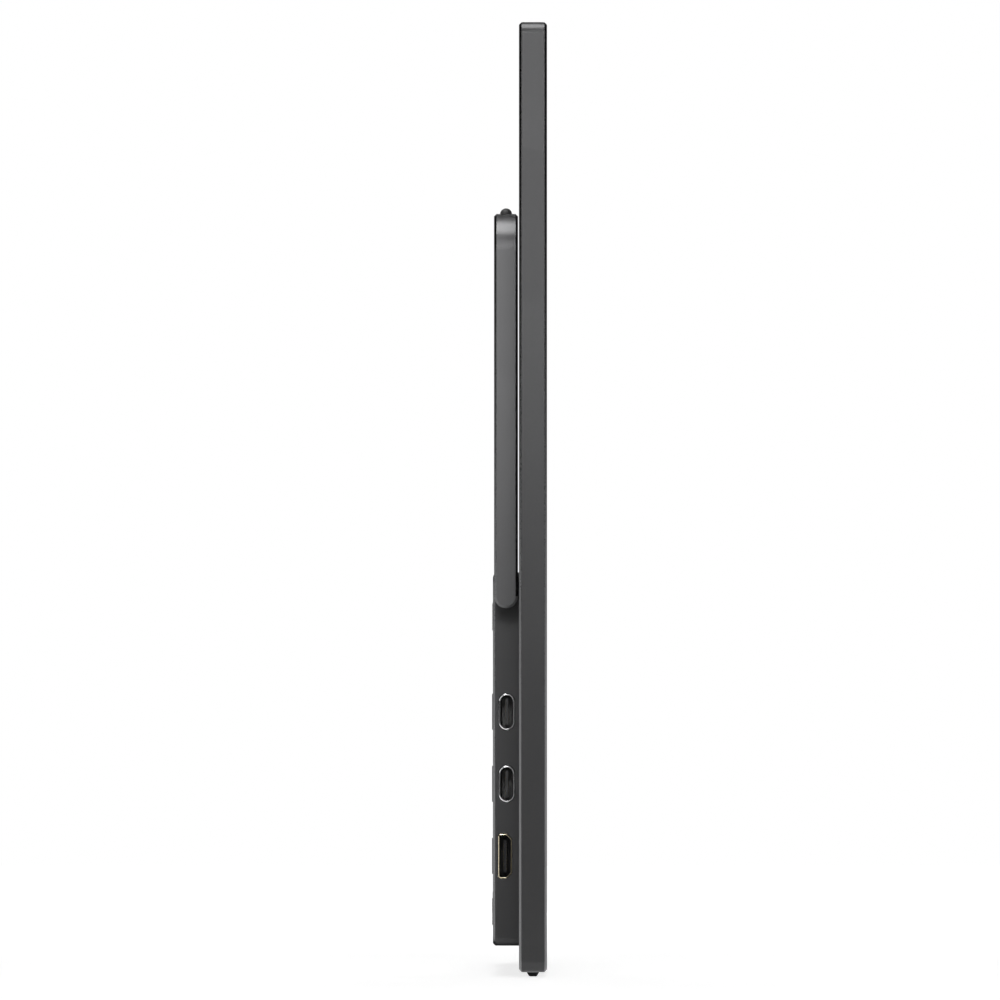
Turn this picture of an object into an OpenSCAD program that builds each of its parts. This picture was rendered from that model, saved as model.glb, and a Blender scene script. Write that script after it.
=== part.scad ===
// Portable monitor: a thin display slab with an electronics housing on its back
// and a U-shaped stand that folds flat and swings out to the rear.
// X is the width, the screen faces -Y, Z is up and Z = 0 is the underside of the feet.

/* [Display slab] */
// Thickness of the slab
panel_t = 7; // [6.6:0.1:10]
// Corner radius of the slab seen from the front
panel_r = 2.75; // [1.5:0.05:6]
// Bevel along the edges of the slab
panel_bevel = 0.65; // [0.2:0.05:1]
// Side wall of the slab's shell
shell_wall = 1.2; // [0.8:0.1:1.6]
// Back plate of the slab's shell
shell_back = 1; // [0.8:0.1:1.4]

/* [Screen] */
// Width of the picture
active_w = 344.7; // [330:0.1:400]
// Height of the picture
active_h = 215.4; // [205:0.1:250]
// Slab margin beside the picture
margin_side = 5.65; // [5.5:0.05:8]
// Slab margin above the picture
margin_top = 6; // [5.5:0.1:8]
// Slab margin below the picture
margin_bottom = 16.2; // [15.6:0.1:20]
// Black border of the glass beside and above the picture
glass_border = 2.6; // [2:0.1:3]
// Black border of the glass below the picture
glass_chin = 5; // [3:0.1:5.5]
// Thickness of the liquid crystal glass
glass_t = 1.4; // [1:0.1:1.6]
// Thickness of the stack of optical films
films_t = 0.45; // [0.2:0.05:0.6]
// Thickness of the light guide
guide_t = 2; // [1.2:0.1:2.2]
// Thickness of the reflector sheet
reflector_t = 0.25; // [0.1:0.05:0.4]
// Sheet thickness of the tray behind the light guide
tray_t = 0.6; // [0.4:0.1:0.8]
// Rim of the tray around the glass
tray_rim = 1; // [0.6:0.1:1.1]
// Gap between the stacked screen layers and the tray's rim
layer_gap = 0.2; // [0.1:0.05:0.3]
// Depth of the bezel below the slab's front edge
bezel_recess = 0.3; // [0.1:0.05:0.5]
// Gap around the bezel
bezel_gap = 0.1; // [0.05:0.05:0.3]
// Bevel around the bezel's window
window_bevel = 0.4; // [0.1:0.05:0.5]
// Number of lamps along the light guide
led_count = 32; // [12:1:48]
// Length of one lamp
led_l = 4; // [2:0.1:5]
// Height of one lamp
led_h = 0.8; // [0.5:0.1:1]
// Thickness of the lamps' circuit strip
led_strip_t = 0.6; // [0.4:0.1:0.8]
// Length of the picture driver board
driver_l = 260; // [180:1:300]
// Height of the picture driver board
driver_h = 6.4; // [5:0.1:6.6]
// Thickness of the picture driver board
driver_t = 0.8; // [0.6:0.1:1]
// Number of drive films between the driver board and the glass
film_strips = 6; // [3:1:8]
// Width of one drive film
film_strip_w = 18; // [10:1:22]

/* [Bottom feet] */
// Height of the feet under the slab
foot_h = 1.35; // [1:0.05:2]
// Width of a foot where it meets the slab
foot_w = 3; // [2:0.1:4]
// Width of a foot at the ground
foot_tip_w = 1.9; // [1:0.1:2]
// Length of one foot
foot_l = 60; // [30:1:90]
// Middle of a foot from the slab's side
foot_inset = 60; // [40:1:80]
// Depth of the foot's root in the shell
foot_root = 0.5; // [0.3:0.05:0.6]

/* [Rear housing] */
// Depth of the housing behind the slab
housing_t = 6.55; // [6.5:0.05:9]
// Lower edge of the housing above the slab's lower edge
housing_rise = 6.25; // [4:0.05:10]
// Corner radius of the housing seen from behind
housing_r = 2.1; // [1:0.1:4]
// Bevel along the housing's rear edge
housing_bevel = 0.6; // [0.2:0.05:0.8]
// Side walls of the housing
cover_wall = 1.5; // [1.2:0.1:1.8]
// Rear wall of the housing
cover_back = 1.2; // [1:0.05:1.3]
// Height of the raised ribs and bars on the rear face
relief = 0.2; // [0.1:0.05:0.3]
// Distance between the ribs of a grille
rib_pitch = 0.75; // [0.7:0.05:1]
// Width of the slots between the ribs
slot_w = 0.35; // [0.3:0.05:0.4]
// Number of slots in a grille
slot_count = 8; // [4:1:8]
// Length of a speaker grille
grille_l = 40; // [20:1:50]
// Length of an air vent
vent_l = 40; // [20:1:44]
// Middle of the grilles and vents from the housing's side
grille_inset = 53.6; // [51:0.1:56]
// First speaker slot above the housing's lower edge
grille_up = 5.3; // [5:0.1:5.6]
// First vent slot below the housing's top
vent_down = 13.7; // [13.2:0.1:14]
// Width of the plain bars beside the sockets
bar_w = 1.6; // [1:0.1:2.5]
// Length of the plain bars beside the sockets
bar_l = 9; // [5:0.5:10]
// Distance of the bars from the housing's side
bar_inset = 4; // [2:0.1:6]

/* [Fold-out stand] */
// Distance of the stand's sides from the slab's sides
stand_inset = 28; // [20:1:32]
// Thickness of the stand
stand_t = 6; // [5.6:0.1:6.2]
// Length of the stand from its hinge to its end
stand_l = 95.9; // [92:0.1:110]
// Width of each arm
arm_w = 10; // [9:0.1:14]
// Height of the bar that joins the arms
cross_h = 12; // [8:0.1:16]
// Outer corner radius of the stand
stand_r = 9.2; // [6:0.1:12]
// Inner corner radius of the stand
stand_inner_r = 4; // [2:0.1:8]
// Bevel along the stand's edges
stand_bevel = 0.6; // [0.2:0.05:0.8]
// Gap between the folded stand and the slab
stand_gap = 0.25; // [0.2:0.05:0.6]
// Gap between an arm and the housing's side
arm_gap = 0.4; // [0.3:0.05:0.6]
// Width of the rubber pads on the stand's end
pad_w = 3; // [2:0.1:4]
// Length of one rubber pad
pad_l = 46; // [20:1:60]
// Middle of a pad from the stand's side
pad_inset = 42; // [38:1:60]
// Width of the pad's root in the stand
pad_root_w = 1.8; // [1:0.1:1.9]
// Depth of the pad's root in the stand
pad_root = 1.2; // [0.6:0.1:2]

/* [Hinge] */
// Distance of the hinge axis below the housing's top
pivot_drop = 5.5; // [5.2:0.1:6]
// Radius of the hinge shafts
shaft_r = 1.25; // [1:0.05:1.35]
// Running clearance of a shaft in its bracket
shaft_fit = 0.04; // [0.02:0.01:0.08]
// Clearance of a shaft in the housing's side wall
shaft_clear = 0.35; // [0.3:0.05:0.5]
// Depth of a shaft in its arm
shaft_grip = 7; // [4:0.1:7.5]
// Depth of the flat that keys a shaft to its arm
shaft_flat = 0.35; // [0.2:0.05:0.5]
// Radius of the collar and the spring washers
collar_r = 2.1; // [1.9:0.05:2.15]
// Thickness of the collar
collar_t = 1; // [0.6:0.1:1.2]
// Thickness of the bracket's upright ear
ear_t = 1.5; // [1:0.1:1.8]
// Height of the ear
ear_h = 6; // [5:0.1:7]
// Thickness of the bracket's base plate
bracket_t = 0.8; // [0.5:0.1:0.9]
// Length of the bracket's base plate
bracket_l = 15.6; // [14:0.1:18]
// Height of the bracket's base plate
bracket_h = 12; // [11.6:0.1:12.4]
// Thickness of one spring washer
washer_t = 0.5; // [0.4:0.1:0.6]
// Number of spring washers on a shaft
washer_count = 3; // [1:1:4]
// Corner radius of the hexagonal nut
nut_r = 2.2; // [1.9:0.05:2.25]
// Thickness of the nut
nut_t = 2; // [1.5:0.1:2.5]
// Side gap between the parts that turn and those that don't
turn_gap = 0.1; // [0.05:0.05:0.2]
// Depth of the pocket in the rear wall over the hinge
hinge_pocket = 0.4; // [0.35:0.05:0.5]

/* [Sockets] */
// Depth of the oval sockets' axis behind the slab
port_depth = 3.06; // [2.95:0.01:3.2]
// Upper oval socket above the housing's lower edge
usb_upper_up = 58.7; // [56:0.1:62]
// Lower oval socket above the housing's lower edge
usb_lower_up = 40.6; // [38:0.1:44]
// Six-sided socket above the housing's lower edge
hdmi_up = 22.5; // [21:0.1:25]
// Width of the opening for a plug in an oval socket
usb_w = 8.34; // [8.3:0.01:8.4]
// Height of the opening for a plug in an oval socket
usb_h = 2.56; // [2.5:0.01:2.6]
// Metal thickness of an oval socket
usb_wall = 0.35; // [0.25:0.05:0.4]
// Bevelled lead-in of an oval socket
usb_lead = 0.27; // [0.1:0.01:0.3]
// Width of the oval socket's front ring
ring_w = 9.25; // [9.2:0.05:9.4]
// Height of the oval socket's front ring
ring_h = 4.1; // [4:0.05:4.2]
// Depth of the oval socket
usb_l = 7.3; // [6:0.1:9]
// Width of the contact tongue in an oval socket
tongue_w = 6.7; // [6:0.1:6.9]
// Thickness of the contact tongue in an oval socket
tongue_t = 0.7; // [0.6:0.05:0.8]
// Distance of the tongues from the housing's side
tongue_back = 1; // [0.5:0.1:2]
// Width of the six-sided socket
hdmi_w = 11.2; // [11:0.1:11.4]
// Height of the six-sided socket
hdmi_h = 3.5; // [3.4:0.05:3.6]
// Depth of the six-sided socket's axis behind the slab
hdmi_depth = 3.5; // [3.4:0.05:3.55]
// Large cut corners of the six-sided socket
hdmi_cut = 1.3; // [1:0.05:1.5]
// Small cut corners of the six-sided socket
hdmi_nick = 0.4; // [0.3:0.05:0.6]
// Metal thickness of the six-sided socket
hdmi_wall = 0.4; // [0.3:0.05:0.45]
// Depth of the six-sided socket
hdmi_l = 7.5; // [6:0.1:9]
// Width of the contact tongue in the six-sided socket
hdmi_tongue_w = 8; // [7:0.1:8.4]
// Thickness of the contact tongue in the six-sided socket
hdmi_tongue_t = 0.8; // [0.6:0.05:1]
// Clearance around the sockets in the housing's wall
port_clear = 0.05; // [0.05:0.05:0.15]
// Radius of the headphone jack's bore
jack_r = 1.75; // [1.75:0.01:1.8]
// Depth of the headphone jack's bore
jack_bore = 12; // [10:0.1:12.5]
// Radius of the headphone jack's nose
jack_nose_r = 2.1; // [2:0.05:2.2]
// Headphone jack above the housing's lower edge
jack_up = 20.4; // [19.6:0.1:21]
// Length of the headphone jack's body
jack_l = 11.8; // [11.5:0.1:12.5]
// Width of the headphone jack's body
jack_w = 6; // [5:0.1:6.4]
// Height of the headphone jack's body
jack_h = 4.3; // [4.2:0.05:4.4]

/* [Controls] */
// Length of the power button
power_l = 8; // [6:0.1:10]
// Width of the keys across the housing
key_w = 2.6; // [2:0.1:2.8]
// Length of the menu rocker
rocker_l = 14; // [12:0.1:18]
// Height of the keys above the housing's side
key_proud = 0.5; // [0.4:0.05:0.8]
// Gap between the power button and its slot
key_gap = 0.25; // [0.2:0.05:0.4]
// Gap between the rocker and its slot
rocker_gap = 0.4; // [0.3:0.05:0.5]
// Thickness of the keys' inner flanges
flange_t = 0.7; // [0.5:0.05:0.8]
// Reach of the flanges beyond the keys
flange_lip = 0.6; // [0.5:0.05:0.7]
// Travel of the power button
power_travel = 0.35; // [0.2:0.05:0.4]
// Gap between the power button's flange and the wall
power_rest = 0.1; // [0.05:0.05:0.2]
// Gap between the rocker's flange and the wall
rocker_rest = 0.6; // [0.55:0.05:0.8]
// Tilt of the rocker to either side, in degrees
rocker_tilt = 2; // [1:0.5:2.5]
// Gap left between a pressed key and its switch
switch_spare = 0.2; // [0.15:0.05:0.3]
// Power button above the housing's lower edge
power_up = 61.4; // [60:0.1:62]
// Rocker's pivot above the housing's lower edge
rocker_up = 42.4; // [41:0.1:44]
// Distance of the rocker's end switches from its pivot
rocker_reach = 5; // [4.4:0.1:5.4]
// Radius of the rocker's pin
pin_r = 0.5; // [0.4:0.05:0.6]
// Running clearance of the rocker on its pin
pin_fit = 0.05; // [0.03:0.01:0.08]
// Status light above the housing's lower edge
lamp_up = 70.5; // [70:0.1:71.5]
// Radius of the status light
lamp_r = 0.75; // [0.5:0.05:1]

/* [Boards and sound] */
// Thickness of the main board
board_t = 1; // [0.8:0.05:1]
// Gap between the main board and the wall-bracket straps
board_strap_gap = 1; // [0.6:0.1:2]
// Length of the board's narrow end
board_step = 42.5; // [40:0.5:46]
// Height of the board's narrow end
board_step_h = 14; // [13:0.1:15]
// Gap between the main board's ends and the walls
board_gap = 0.6; // [0.3:0.1:1]
// Length of the scaler's heat spreader
spreader_l = 60; // [40:1:70]
// Height of the scaler's heat spreader
spreader_h = 36; // [30:1:40]
// Thickness of the scaler's heat spreader
spreader_t = 0.5; // [0.3:0.05:0.8]
// Height of the scaler chip
scaler_t = 1.2; // [1.1:0.1:1.6]
// Thickness of the key board
key_board_t = 1; // [0.8:0.1:1.2]
// Length of a speaker
speaker_l = 66; // [56:1:68]
// Height of a speaker
speaker_h = 11.4; // [10:0.1:11.6]
// Depth of a speaker
speaker_t = 4.9; // [4:0.1:4.9]
// Length of a speaker's membrane
cone_l = 36; // [24:1:44]
// Height of a speaker's membrane
cone_h = 7.6; // [6:0.1:8]
// Radius of the speaker leads
lead_r = 0.4; // [0.3:0.05:0.5]

/* [Fixings] */
// Distance between the wall-bracket holes
vesa_pitch = 75; // [72:1:100]
// Distance of the wall-bracket holes from the housing's lower and upper edges
vesa_margin = 9.1; // [8.6:0.1:10]
// Radius of the wall-bracket threads
vesa_r = 2; // [1.9:0.05:2.1]
// Outer radius of the wall-bracket nuts
vesa_nut_r = 3; // [2.8:0.1:3.4]
// Depth of the wall-bracket threads
vesa_depth = 5; // [4:0.1:5.2]
// Thickness of the straps under the wall-bracket nuts
strap_t = 1; // [0.8:0.1:1.2]
// Height of the straps under the wall-bracket nuts
strap_h = 8.6; // [7:0.1:9]
// Radius of the small screws' shanks
screw_r = 0.8; // [0.7:0.05:0.9]
// Radius of the small screws' heads
screw_head_r = 1.6; // [1.4:0.05:1.8]
// Height of the small screws' heads
screw_head_t = 0.8; // [0.6:0.05:0.8]
// Outer radius of the standoffs
standoff_r = 2; // [1.8:0.1:2.2]
// Length of a cover screw in its standoff
screw_grip = 3.4; // [2:0.1:3.8]
// Clearance of a screw in its hole
screw_clear = 0.05; // [0.02:0.01:0.1]

/* [Hidden] */

// Fineness of the round surfaces
$fn = 48;
// Overrun of a cutting shape past the face that it cuts
cut = 1;

// Depths along Y: the part is centred between the screen side and the rear relief
depth = panel_t + housing_t + relief;
front_y = -depth / 2;
back_y = front_y + panel_t;
rear_y = back_y + housing_t;
plate_y = back_y - shell_back;
cover_inner_y = rear_y - cover_back;

// The slab is the picture and its margins
panel_w = active_w + 2 * margin_side;
panel_h = active_h + margin_top + margin_bottom;

// Heights along Z: the wall-bracket holes set the housing's height
housing_h = vesa_pitch + 2 * vesa_margin;
panel_top = foot_h + panel_h;
housing_z = foot_h + housing_rise;
housing_top = housing_z + housing_h;
active_z = panel_top - margin_top - active_h;

// The housing lies between the arms
stand_w = panel_w - 2 * stand_inset;
housing_w = stand_w - 2 * (arm_w + arm_gap);
side_x = housing_w / 2;
wall_x = side_x - cover_wall;
grille_x = side_x - grille_inset;
vent_z = housing_top - vent_down;
foot_x = panel_w / 2 - foot_inset;
pad_x = stand_w / 2 - pad_inset;

// Screen layers, from the shell's back plate towards the front
tray_y = plate_y - tray_t;
reflector_y = tray_y - reflector_t;
guide_y = reflector_y - guide_t;
films_y = guide_y - films_t;
glass_y = films_y - glass_t;
bezel_y = front_y + bezel_recess;
glass_w = active_w + 2 * glass_border;
glass_z = active_z - glass_chin;
glass_h = active_h + glass_chin + glass_border;
tray_in_w = glass_w + 2 * layer_gap;
tray_in_h = glass_h + 2 * layer_gap;
tray_in_z = glass_z - layer_gap;
led_gap = 0.3;
led_strip_l = glass_w - glass_chin;
led_z = tray_in_z + led_gap;
guide_z = led_z + led_strip_t + led_h + led_gap;
guide_h = glass_z + glass_h - guide_z;
led_pitch = led_strip_l / led_count;

// Picture driver board, in the slab's chin
chin_gap = 0.4;
driver_z = foot_h + shell_wall + chin_gap;
driver_y = plate_y - driver_t;
drive_film_t = 0.15;

// Flat cable from the driver board through the back plate to the main board
cable_w = 30;
cable_t = 0.2;
cable_z = driver_z + driver_h + cable_t;
cable_slot_h = 3 * cable_t;
cable_slot_gap = 0.5;
cable_plug_w = 2;
cable_lift = 0.5;
cable_y = back_y + strap_t + cable_lift;

// Threaded nuts for a wall bracket, on two straps
vesa_z = [housing_z + vesa_margin, housing_z + vesa_margin + vesa_pitch];
strap_end = 6;

// Main board, on bosses that stand on the back plate
usb_shell_h = usb_h + 2 * usb_wall;
board_top_y = back_y + port_depth - usb_shell_h / 2;
board_y = board_top_y - board_t;
board_z = vesa_z[0] + strap_h / 2 + board_strap_gap;
board_h = vesa_pitch - strap_h - 2 * board_strap_gap;
board_x = wall_x - board_gap;
board_step_x = board_x - board_step;
board_step_z = board_z + board_step_h;
boss_r = 2.4;
boss_edge = 5;
boss_x = [-board_x + 17.5, board_step_x - 13];
boss_z = [board_z + boss_edge, board_z + board_h - boss_edge];
boss_hole_left = 0.1;

// Cable sockets on the main board
lead_x = grille_x + 4;
lead_plug_l = 8;
lead_plug_h = 4;
plug_t = 1.4;

// Middle x, middle height on the board, width, height and thickness of each chip
scaler_x = -28;
scaler_up = 34;
chip_sites = [
  [scaler_x, scaler_up, 14, 14, scaler_t],
  [31.6 - side_x, 44, 6, 6, 0.9],
  [31.6 - side_x, 26, 6, 6, 0.9],
  [31.6 - side_x, 10, 8, 5, 0.9],
  [53.6 - side_x, 50, 7, 7, 2],
  [65.6 - side_x, 50, 7, 7, 2],
  [53.6 - side_x, 16, 10, 6, 1],
  [24, 30, 9, 12, 1],
  [44, 46, 6, 6, 1.6],
  [62, 24, 5, 5, 1],
  [side_x - 31.6, 6, 5, 5, 1],
  [0, lead_plug_h - 1, cable_w + 2 * cable_plug_w, lead_plug_h, plug_t],
  [-lead_x, lead_plug_h - 1, lead_plug_l, lead_plug_h, plug_t],
  [lead_x, lead_plug_h - 1, lead_plug_l, lead_plug_h, plug_t]
];
spreader_x = scaler_x + 8;
spreader_z = board_z + scaler_up;

// Sockets
jack_z = housing_z + jack_up;
jack_clear = 0.1;
socket_leg = 0.6;
hdmi_z = housing_z + hdmi_up;
usb_z = [housing_z + usb_upper_up, housing_z + usb_lower_up];

// Controls on the right side
key_y = back_y + port_depth;
power_z = housing_z + power_up;
rocker_z = housing_z + rocker_up;
lamp_z = housing_z + lamp_up;
pin_x = wall_x - rocker_rest - flange_t - 1.8;
boss_pin_r = pin_r + 0.7;
ear_gap = 0.2;
clip_t = 0.7;
clip_w = 3.4;
clip_base_t = 0.4;
rocker_boss_w = 2.2;
switch_d = 1.6;
switch_l = 3.2;
switch_w = 3;
plunger_r = 0.8;
plunger_l = 0.8;
key_board_x = pin_x - boss_pin_r - clip_base_t - ear_gap - key_board_t;
key_face_x = key_board_x + key_board_t;
switch_x = key_face_x + switch_d + plunger_l;
key_board_z = rocker_z - rocker_l / 2 - 4;
key_board_top = lamp_z + lamp_r + 1.6;
key_board_gap = 0.1;
switch_z = [power_z, rocker_z - rocker_reach, rocker_z + rocker_reach];
power_end_x = switch_x + power_travel + switch_spare;
rocker_end_x = switch_x + rocker_reach * sin(rocker_tilt) + switch_spare;

// Speakers, in the housing's lower corners
speaker_gap = 0.5;
speaker_z = housing_z + cover_wall + speaker_gap;
speaker_x = grille_x + 6;
membrane_t = 0.3;
membrane_sink = 0.8;
gasket_rim = 1;
lead_step = 1.4;
lead_lift = 0.2;

// Screws that close the housing: distance from the centre and height
screw_vesa_gap = 14.5;
screw_edge = 5.4;
screw_corner = 6.1;
screw_hinge_gap = 27.6;
screw_inner_x = vesa_pitch / 2 + screw_vesa_gap;
cover_screw_sites = [
  [screw_inner_x, housing_z + screw_edge],
  [side_x - screw_corner, housing_z + screw_edge],
  [screw_inner_x, housing_top - screw_edge],
  [side_x - screw_hinge_gap, housing_top - screw_edge]
];
spigot_r = 1.4;
cross_w = 0.35;
cross_l = 1.9;
cross_d = 0.5;

// Hinge, from the arm inwards on the right side
pivot_y = back_y + stand_gap + stand_t / 2;
pivot_z = housing_top - pivot_drop;
arm_x = stand_w / 2 - arm_w;
collar_x = wall_x - shaft_clear - collar_t;
ear_x = collar_x - turn_gap - ear_t;
washer_x = ear_x - turn_gap - washer_count * washer_t;
nut_x = washer_x - nut_t;
shaft_end = 1;
shaft_x = nut_x - shaft_end;
ear_top = 1.95;
bracket_x = ear_x + ear_t - bracket_l;
bracket_z = housing_top - cover_wall - 0.5 - bracket_h;
bracket_screw_x = [bracket_x + 3, bracket_x + 9.5];
bracket_screw_z = bracket_z + 3;
bracket_screw_left = 0.1;

// Outline of a bevelled bar: width, depth, and the bevels of its front and back edges.
// A negative bevel flares outwards, for a cutting shape.
function bar_outline(w, t, front, back) = concat(
  front == 0 ? [[-w / 2, 0], [w / 2, 0]] :
    [[-w / 2, abs(front)], [-w / 2 + front, 0], [w / 2 - front, 0], [w / 2, abs(front)]],
  back == 0 ? [[w / 2, t], [-w / 2, t]] :
    [[w / 2, t - abs(back)], [w / 2 - back, t], [-w / 2 + back, t], [-w / 2, t - abs(back)]]);

// Half outline of a bevelled disc
function disc_outline(r, t, front, back) = concat(
  [[0, 0]],
  front == 0 ? [[r, 0]] : [[r - front, 0], [r, abs(front)]],
  back == 0 ? [[r, t]] : [[r, t - abs(back)], [r - back, t]],
  [[0, t]]);

// A disc with bevelled rims, its axis along +Z
module bevelled_disc(r, t, front, back) {
  rotate_extrude() polygon(disc_outline(r, t, front, back));
}

// A slab that stands on Z = 0 with its front at Y = 0, with round corners and bevelled edges
module bevelled_slab(w, h, t, r, front, back) {
  translate([0, 0, r])
    linear_extrude(h - 2 * r)
      polygon(bar_outline(w, t, front, back));
  translate([-(w - 2 * r) / 2, 0, h / 2])
    rotate([0, 90, 0])
      linear_extrude(w - 2 * r)
        polygon(bar_outline(h, t, front, back));
  for (x = [-w / 2 + r, w / 2 - r], z = [r, h - r])
    translate([x, 0, z])
      rotate([-90, 0, 0])
        bevelled_disc(r, t, front, back);
}

// A rectangle with round corners, centred
module rounded_rect(w, h, r) {
  square([w - 2 * r, h], center = true);
  square([w, h - 2 * r], center = true);
  for (x = [-w / 2 + r, w / 2 - r], y = [-h / 2 + r, h / 2 - r])
    translate([x, y])
      circle(r);
}

// A plain plate that stands on Z = 0 with its front at Y = 0
module rounded_plate(w, h, t, r) {
  translate([0, 0, h / 2])
    rotate([-90, 0, 0])
      linear_extrude(t)
        rounded_rect(w, h, r);
}

// A box centred in X and Z, from Y = 0 towards +Y
module block(w, t, h) {
  translate([-w / 2, 0, -h / 2])
    cube([w, t, h]);
}

// A cylinder along +Y
module rod_y(r, l) {
  rotate([-90, 0, 0])
    cylinder(r = r, h = l);
}

// A cylinder along +X
module rod_x(r, l) {
  rotate([0, 90, 0])
    cylinder(r = r, h = l);
}

// An oval bar along +X, long in Z, centred on its axis
module oval_bar(w, h, l) {
  rotate([0, 90, 0])
    linear_extrude(l) {
      square([w - h, h], center = true);
      for (x = [-(w - h) / 2, (w - h) / 2])
        translate([x, 0])
          circle(h / 2);
    }
}

// An oval funnel along +X that narrows by its own depth
module oval_funnel(w, h, lead) {
  rotate([0, 90, 0]) {
    for (x = [-(w - h) / 2, (w - h) / 2])
      translate([x, 0, 0])
        cylinder(r1 = h / 2 + lead, r2 = h / 2, h = lead);
    translate([-(w - h) / 2, 0, 0])
      rotate([0, 90, 0])
        rotate([0, 0, 90])
          linear_extrude(w - h)
            polygon([[-h / 2 - lead, 0], [h / 2 + lead, 0], [h / 2, lead], [-h / 2, lead]]);
  }
}

// Outline of the six-sided socket, narrow towards the slab
function socket_outline(w, h, big, small) = [
  [-w / 2, h / 2 - small], [-w / 2 + small, h / 2], [w / 2 - small, h / 2],
  [w / 2, h / 2 - small], [w / 2, -h / 2 + big], [w / 2 - big, -h / 2],
  [-w / 2 + big, -h / 2], [-w / 2, -h / 2 + big]];

// A bar of that outline along +X, its width along Z
module socket_bar(w, h, big, small, l) {
  rotate([0, 90, 0])
    linear_extrude(l)
      polygon(socket_outline(w, h, big, small));
}

// Two copies, one on each side of the centre
module both_sides() {
  children();
  mirror([1, 0, 0])
    children();
}

// A cross recess in a screw's head, cut downwards from Y = 0
module cross_recess() {
  for (turn = [0, 90])
    rotate([0, turn, 0])
      translate([0, -cross_d, 0])
        block(cross_l, cross_d + cut, cross_w);
}

// A flat-headed screw whose head lies flush at Y = 0 and whose shank points to -Y
module flat_screw(l) {
  difference() {
    rotate([90, 0, 0])
      rotate_extrude()
        polygon([[0, 0], [screw_head_r, 0], [screw_r, screw_head_t], [screw_r, l], [0, l]]);
    cross_recess();
  }
}

// A round-headed screw whose head stands on Y = 0 and whose shank points to -Y
module pan_screw(l) {
  difference() {
    union() {
      rod_y(screw_head_r, screw_head_t);
      mirror([0, 1, 0])
        rod_y(screw_r, l);
    }
    translate([0, screw_head_t, 0])
      cross_recess();
  }
}

// Places for the housing's screws, at depth y
module at_cover_screws(y) {
  both_sides()
    for (site = cover_screw_sites)
      translate([site[0], y, site[1]])
        children();
}

// Places for the main board's screws, at depth y
module at_board_screws(y) {
  for (x = boss_x, z = boss_z)
    translate([x, y, z])
      children();
}

// Places for the wall-bracket nuts, at depth y
module at_vesa(y) {
  for (x = [-vesa_pitch / 2, vesa_pitch / 2], z = vesa_z)
    translate([x, y, z])
      children();
}

// Places for the hinge brackets' screws, at depth y
module at_bracket_screws(y) {
  both_sides()
    for (x = bracket_screw_x)
      translate([x, y, bracket_screw_z])
        children();
}

// A foot's outline, with its root, hanging below Z = 0
function foot_outline() = [
  [-foot_w / 2, foot_root], [foot_w / 2, foot_root], [foot_w / 2, -foot_h * 0.3],
  [foot_tip_w / 2, -foot_h], [-foot_tip_w / 2, -foot_h], [-foot_w / 2, -foot_h * 0.3]];

// The slab's metal tub: back plate, side walls and bosses for the main board
module display_shell() {
  color([0.3, 0.3, 0.31])
    difference() {
      union() {
        translate([0, front_y, foot_h])
          bevelled_slab(panel_w, panel_h, panel_t, panel_r, panel_bevel, panel_bevel);
        at_board_screws(plate_y)
          rod_y(boss_r, board_y - plate_y);
      }
      translate([0, front_y - cut, foot_h + shell_wall])
        rounded_plate(panel_w - 2 * shell_wall, panel_h - 2 * shell_wall,
          plate_y - front_y + cut, panel_r - shell_wall);
      at_board_screws(plate_y + boss_hole_left)
        rod_y(screw_r, board_y - plate_y + cut);
      at_bracket_screws(plate_y + bracket_screw_left)
        rod_y(screw_r, shell_back + cut);
      at_cover_screws(plate_y - cut)
        rod_y(spigot_r, shell_back + 2 * cut);
      translate([0, plate_y - cut, cable_z])
        block(cable_w + 2 * cable_slot_gap, shell_back + 2 * cut, cable_slot_h);
      both_sides()
        translate([foot_x - foot_l / 2, front_y + (panel_t - foot_w) / 2, foot_h - cut])
          cube([foot_l, foot_w, foot_root + cut]);
    }
}

// The plastic frame around the picture
module front_bezel() {
  bezel_w = panel_w - 2 * (shell_wall + bezel_gap);
  bezel_h = panel_h - 2 * (shell_wall + bezel_gap);
  color([0.08, 0.08, 0.08])
    difference() {
      translate([0, bezel_y, foot_h + shell_wall + bezel_gap])
        rounded_plate(bezel_w, bezel_h, glass_y - bezel_y, panel_r - shell_wall);
      translate([0, bezel_y - cut, active_z])
        translate([-active_w / 2, 0, 0])
          cube([active_w, glass_y - bezel_y + 2 * cut, active_h]);
      translate([0, bezel_y, active_z + active_h / 2])
        for (turn = [0, 1], side = [-1, 1])
          window_chamfer(turn, side);
    }
}

// A wedge that bevels one edge of the bezel's window
module window_chamfer(turn, side) {
  reach = turn == 0 ? active_w : active_h;
  off = turn == 0 ? active_h / 2 : active_w / 2;
  rotate([0, turn * 90, 0])
    translate([-reach / 2, 0, side * off])
      rotate([0, 90, 0])
        linear_extrude(reach)
          polygon([[-side * window_bevel, 0], [0, -window_bevel], [side * window_bevel, 0],
            [0, window_bevel]]);
}

// The liquid crystal glass
module lcd_glass() {
  color([0.03, 0.03, 0.04])
    translate([-glass_w / 2, glass_y, glass_z])
      cube([glass_w, glass_t, glass_h]);
}

// The stack of optical films
module optical_films() {
  color([0.85, 0.86, 0.88])
    translate([-glass_w / 2, films_y, guide_z])
      cube([glass_w, films_t, guide_h]);
}

// The acrylic light guide
module light_guide() {
  color([0.8, 0.9, 0.95])
    translate([-glass_w / 2, guide_y, guide_z])
      cube([glass_w, guide_t, guide_h]);
}

// The white sheet behind the light guide
module reflector_sheet() {
  color([0.95, 0.95, 0.95])
    translate([-glass_w / 2, reflector_y, led_z])
      cube([glass_w, reflector_t, glass_z + glass_h - led_z]);
}

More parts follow.
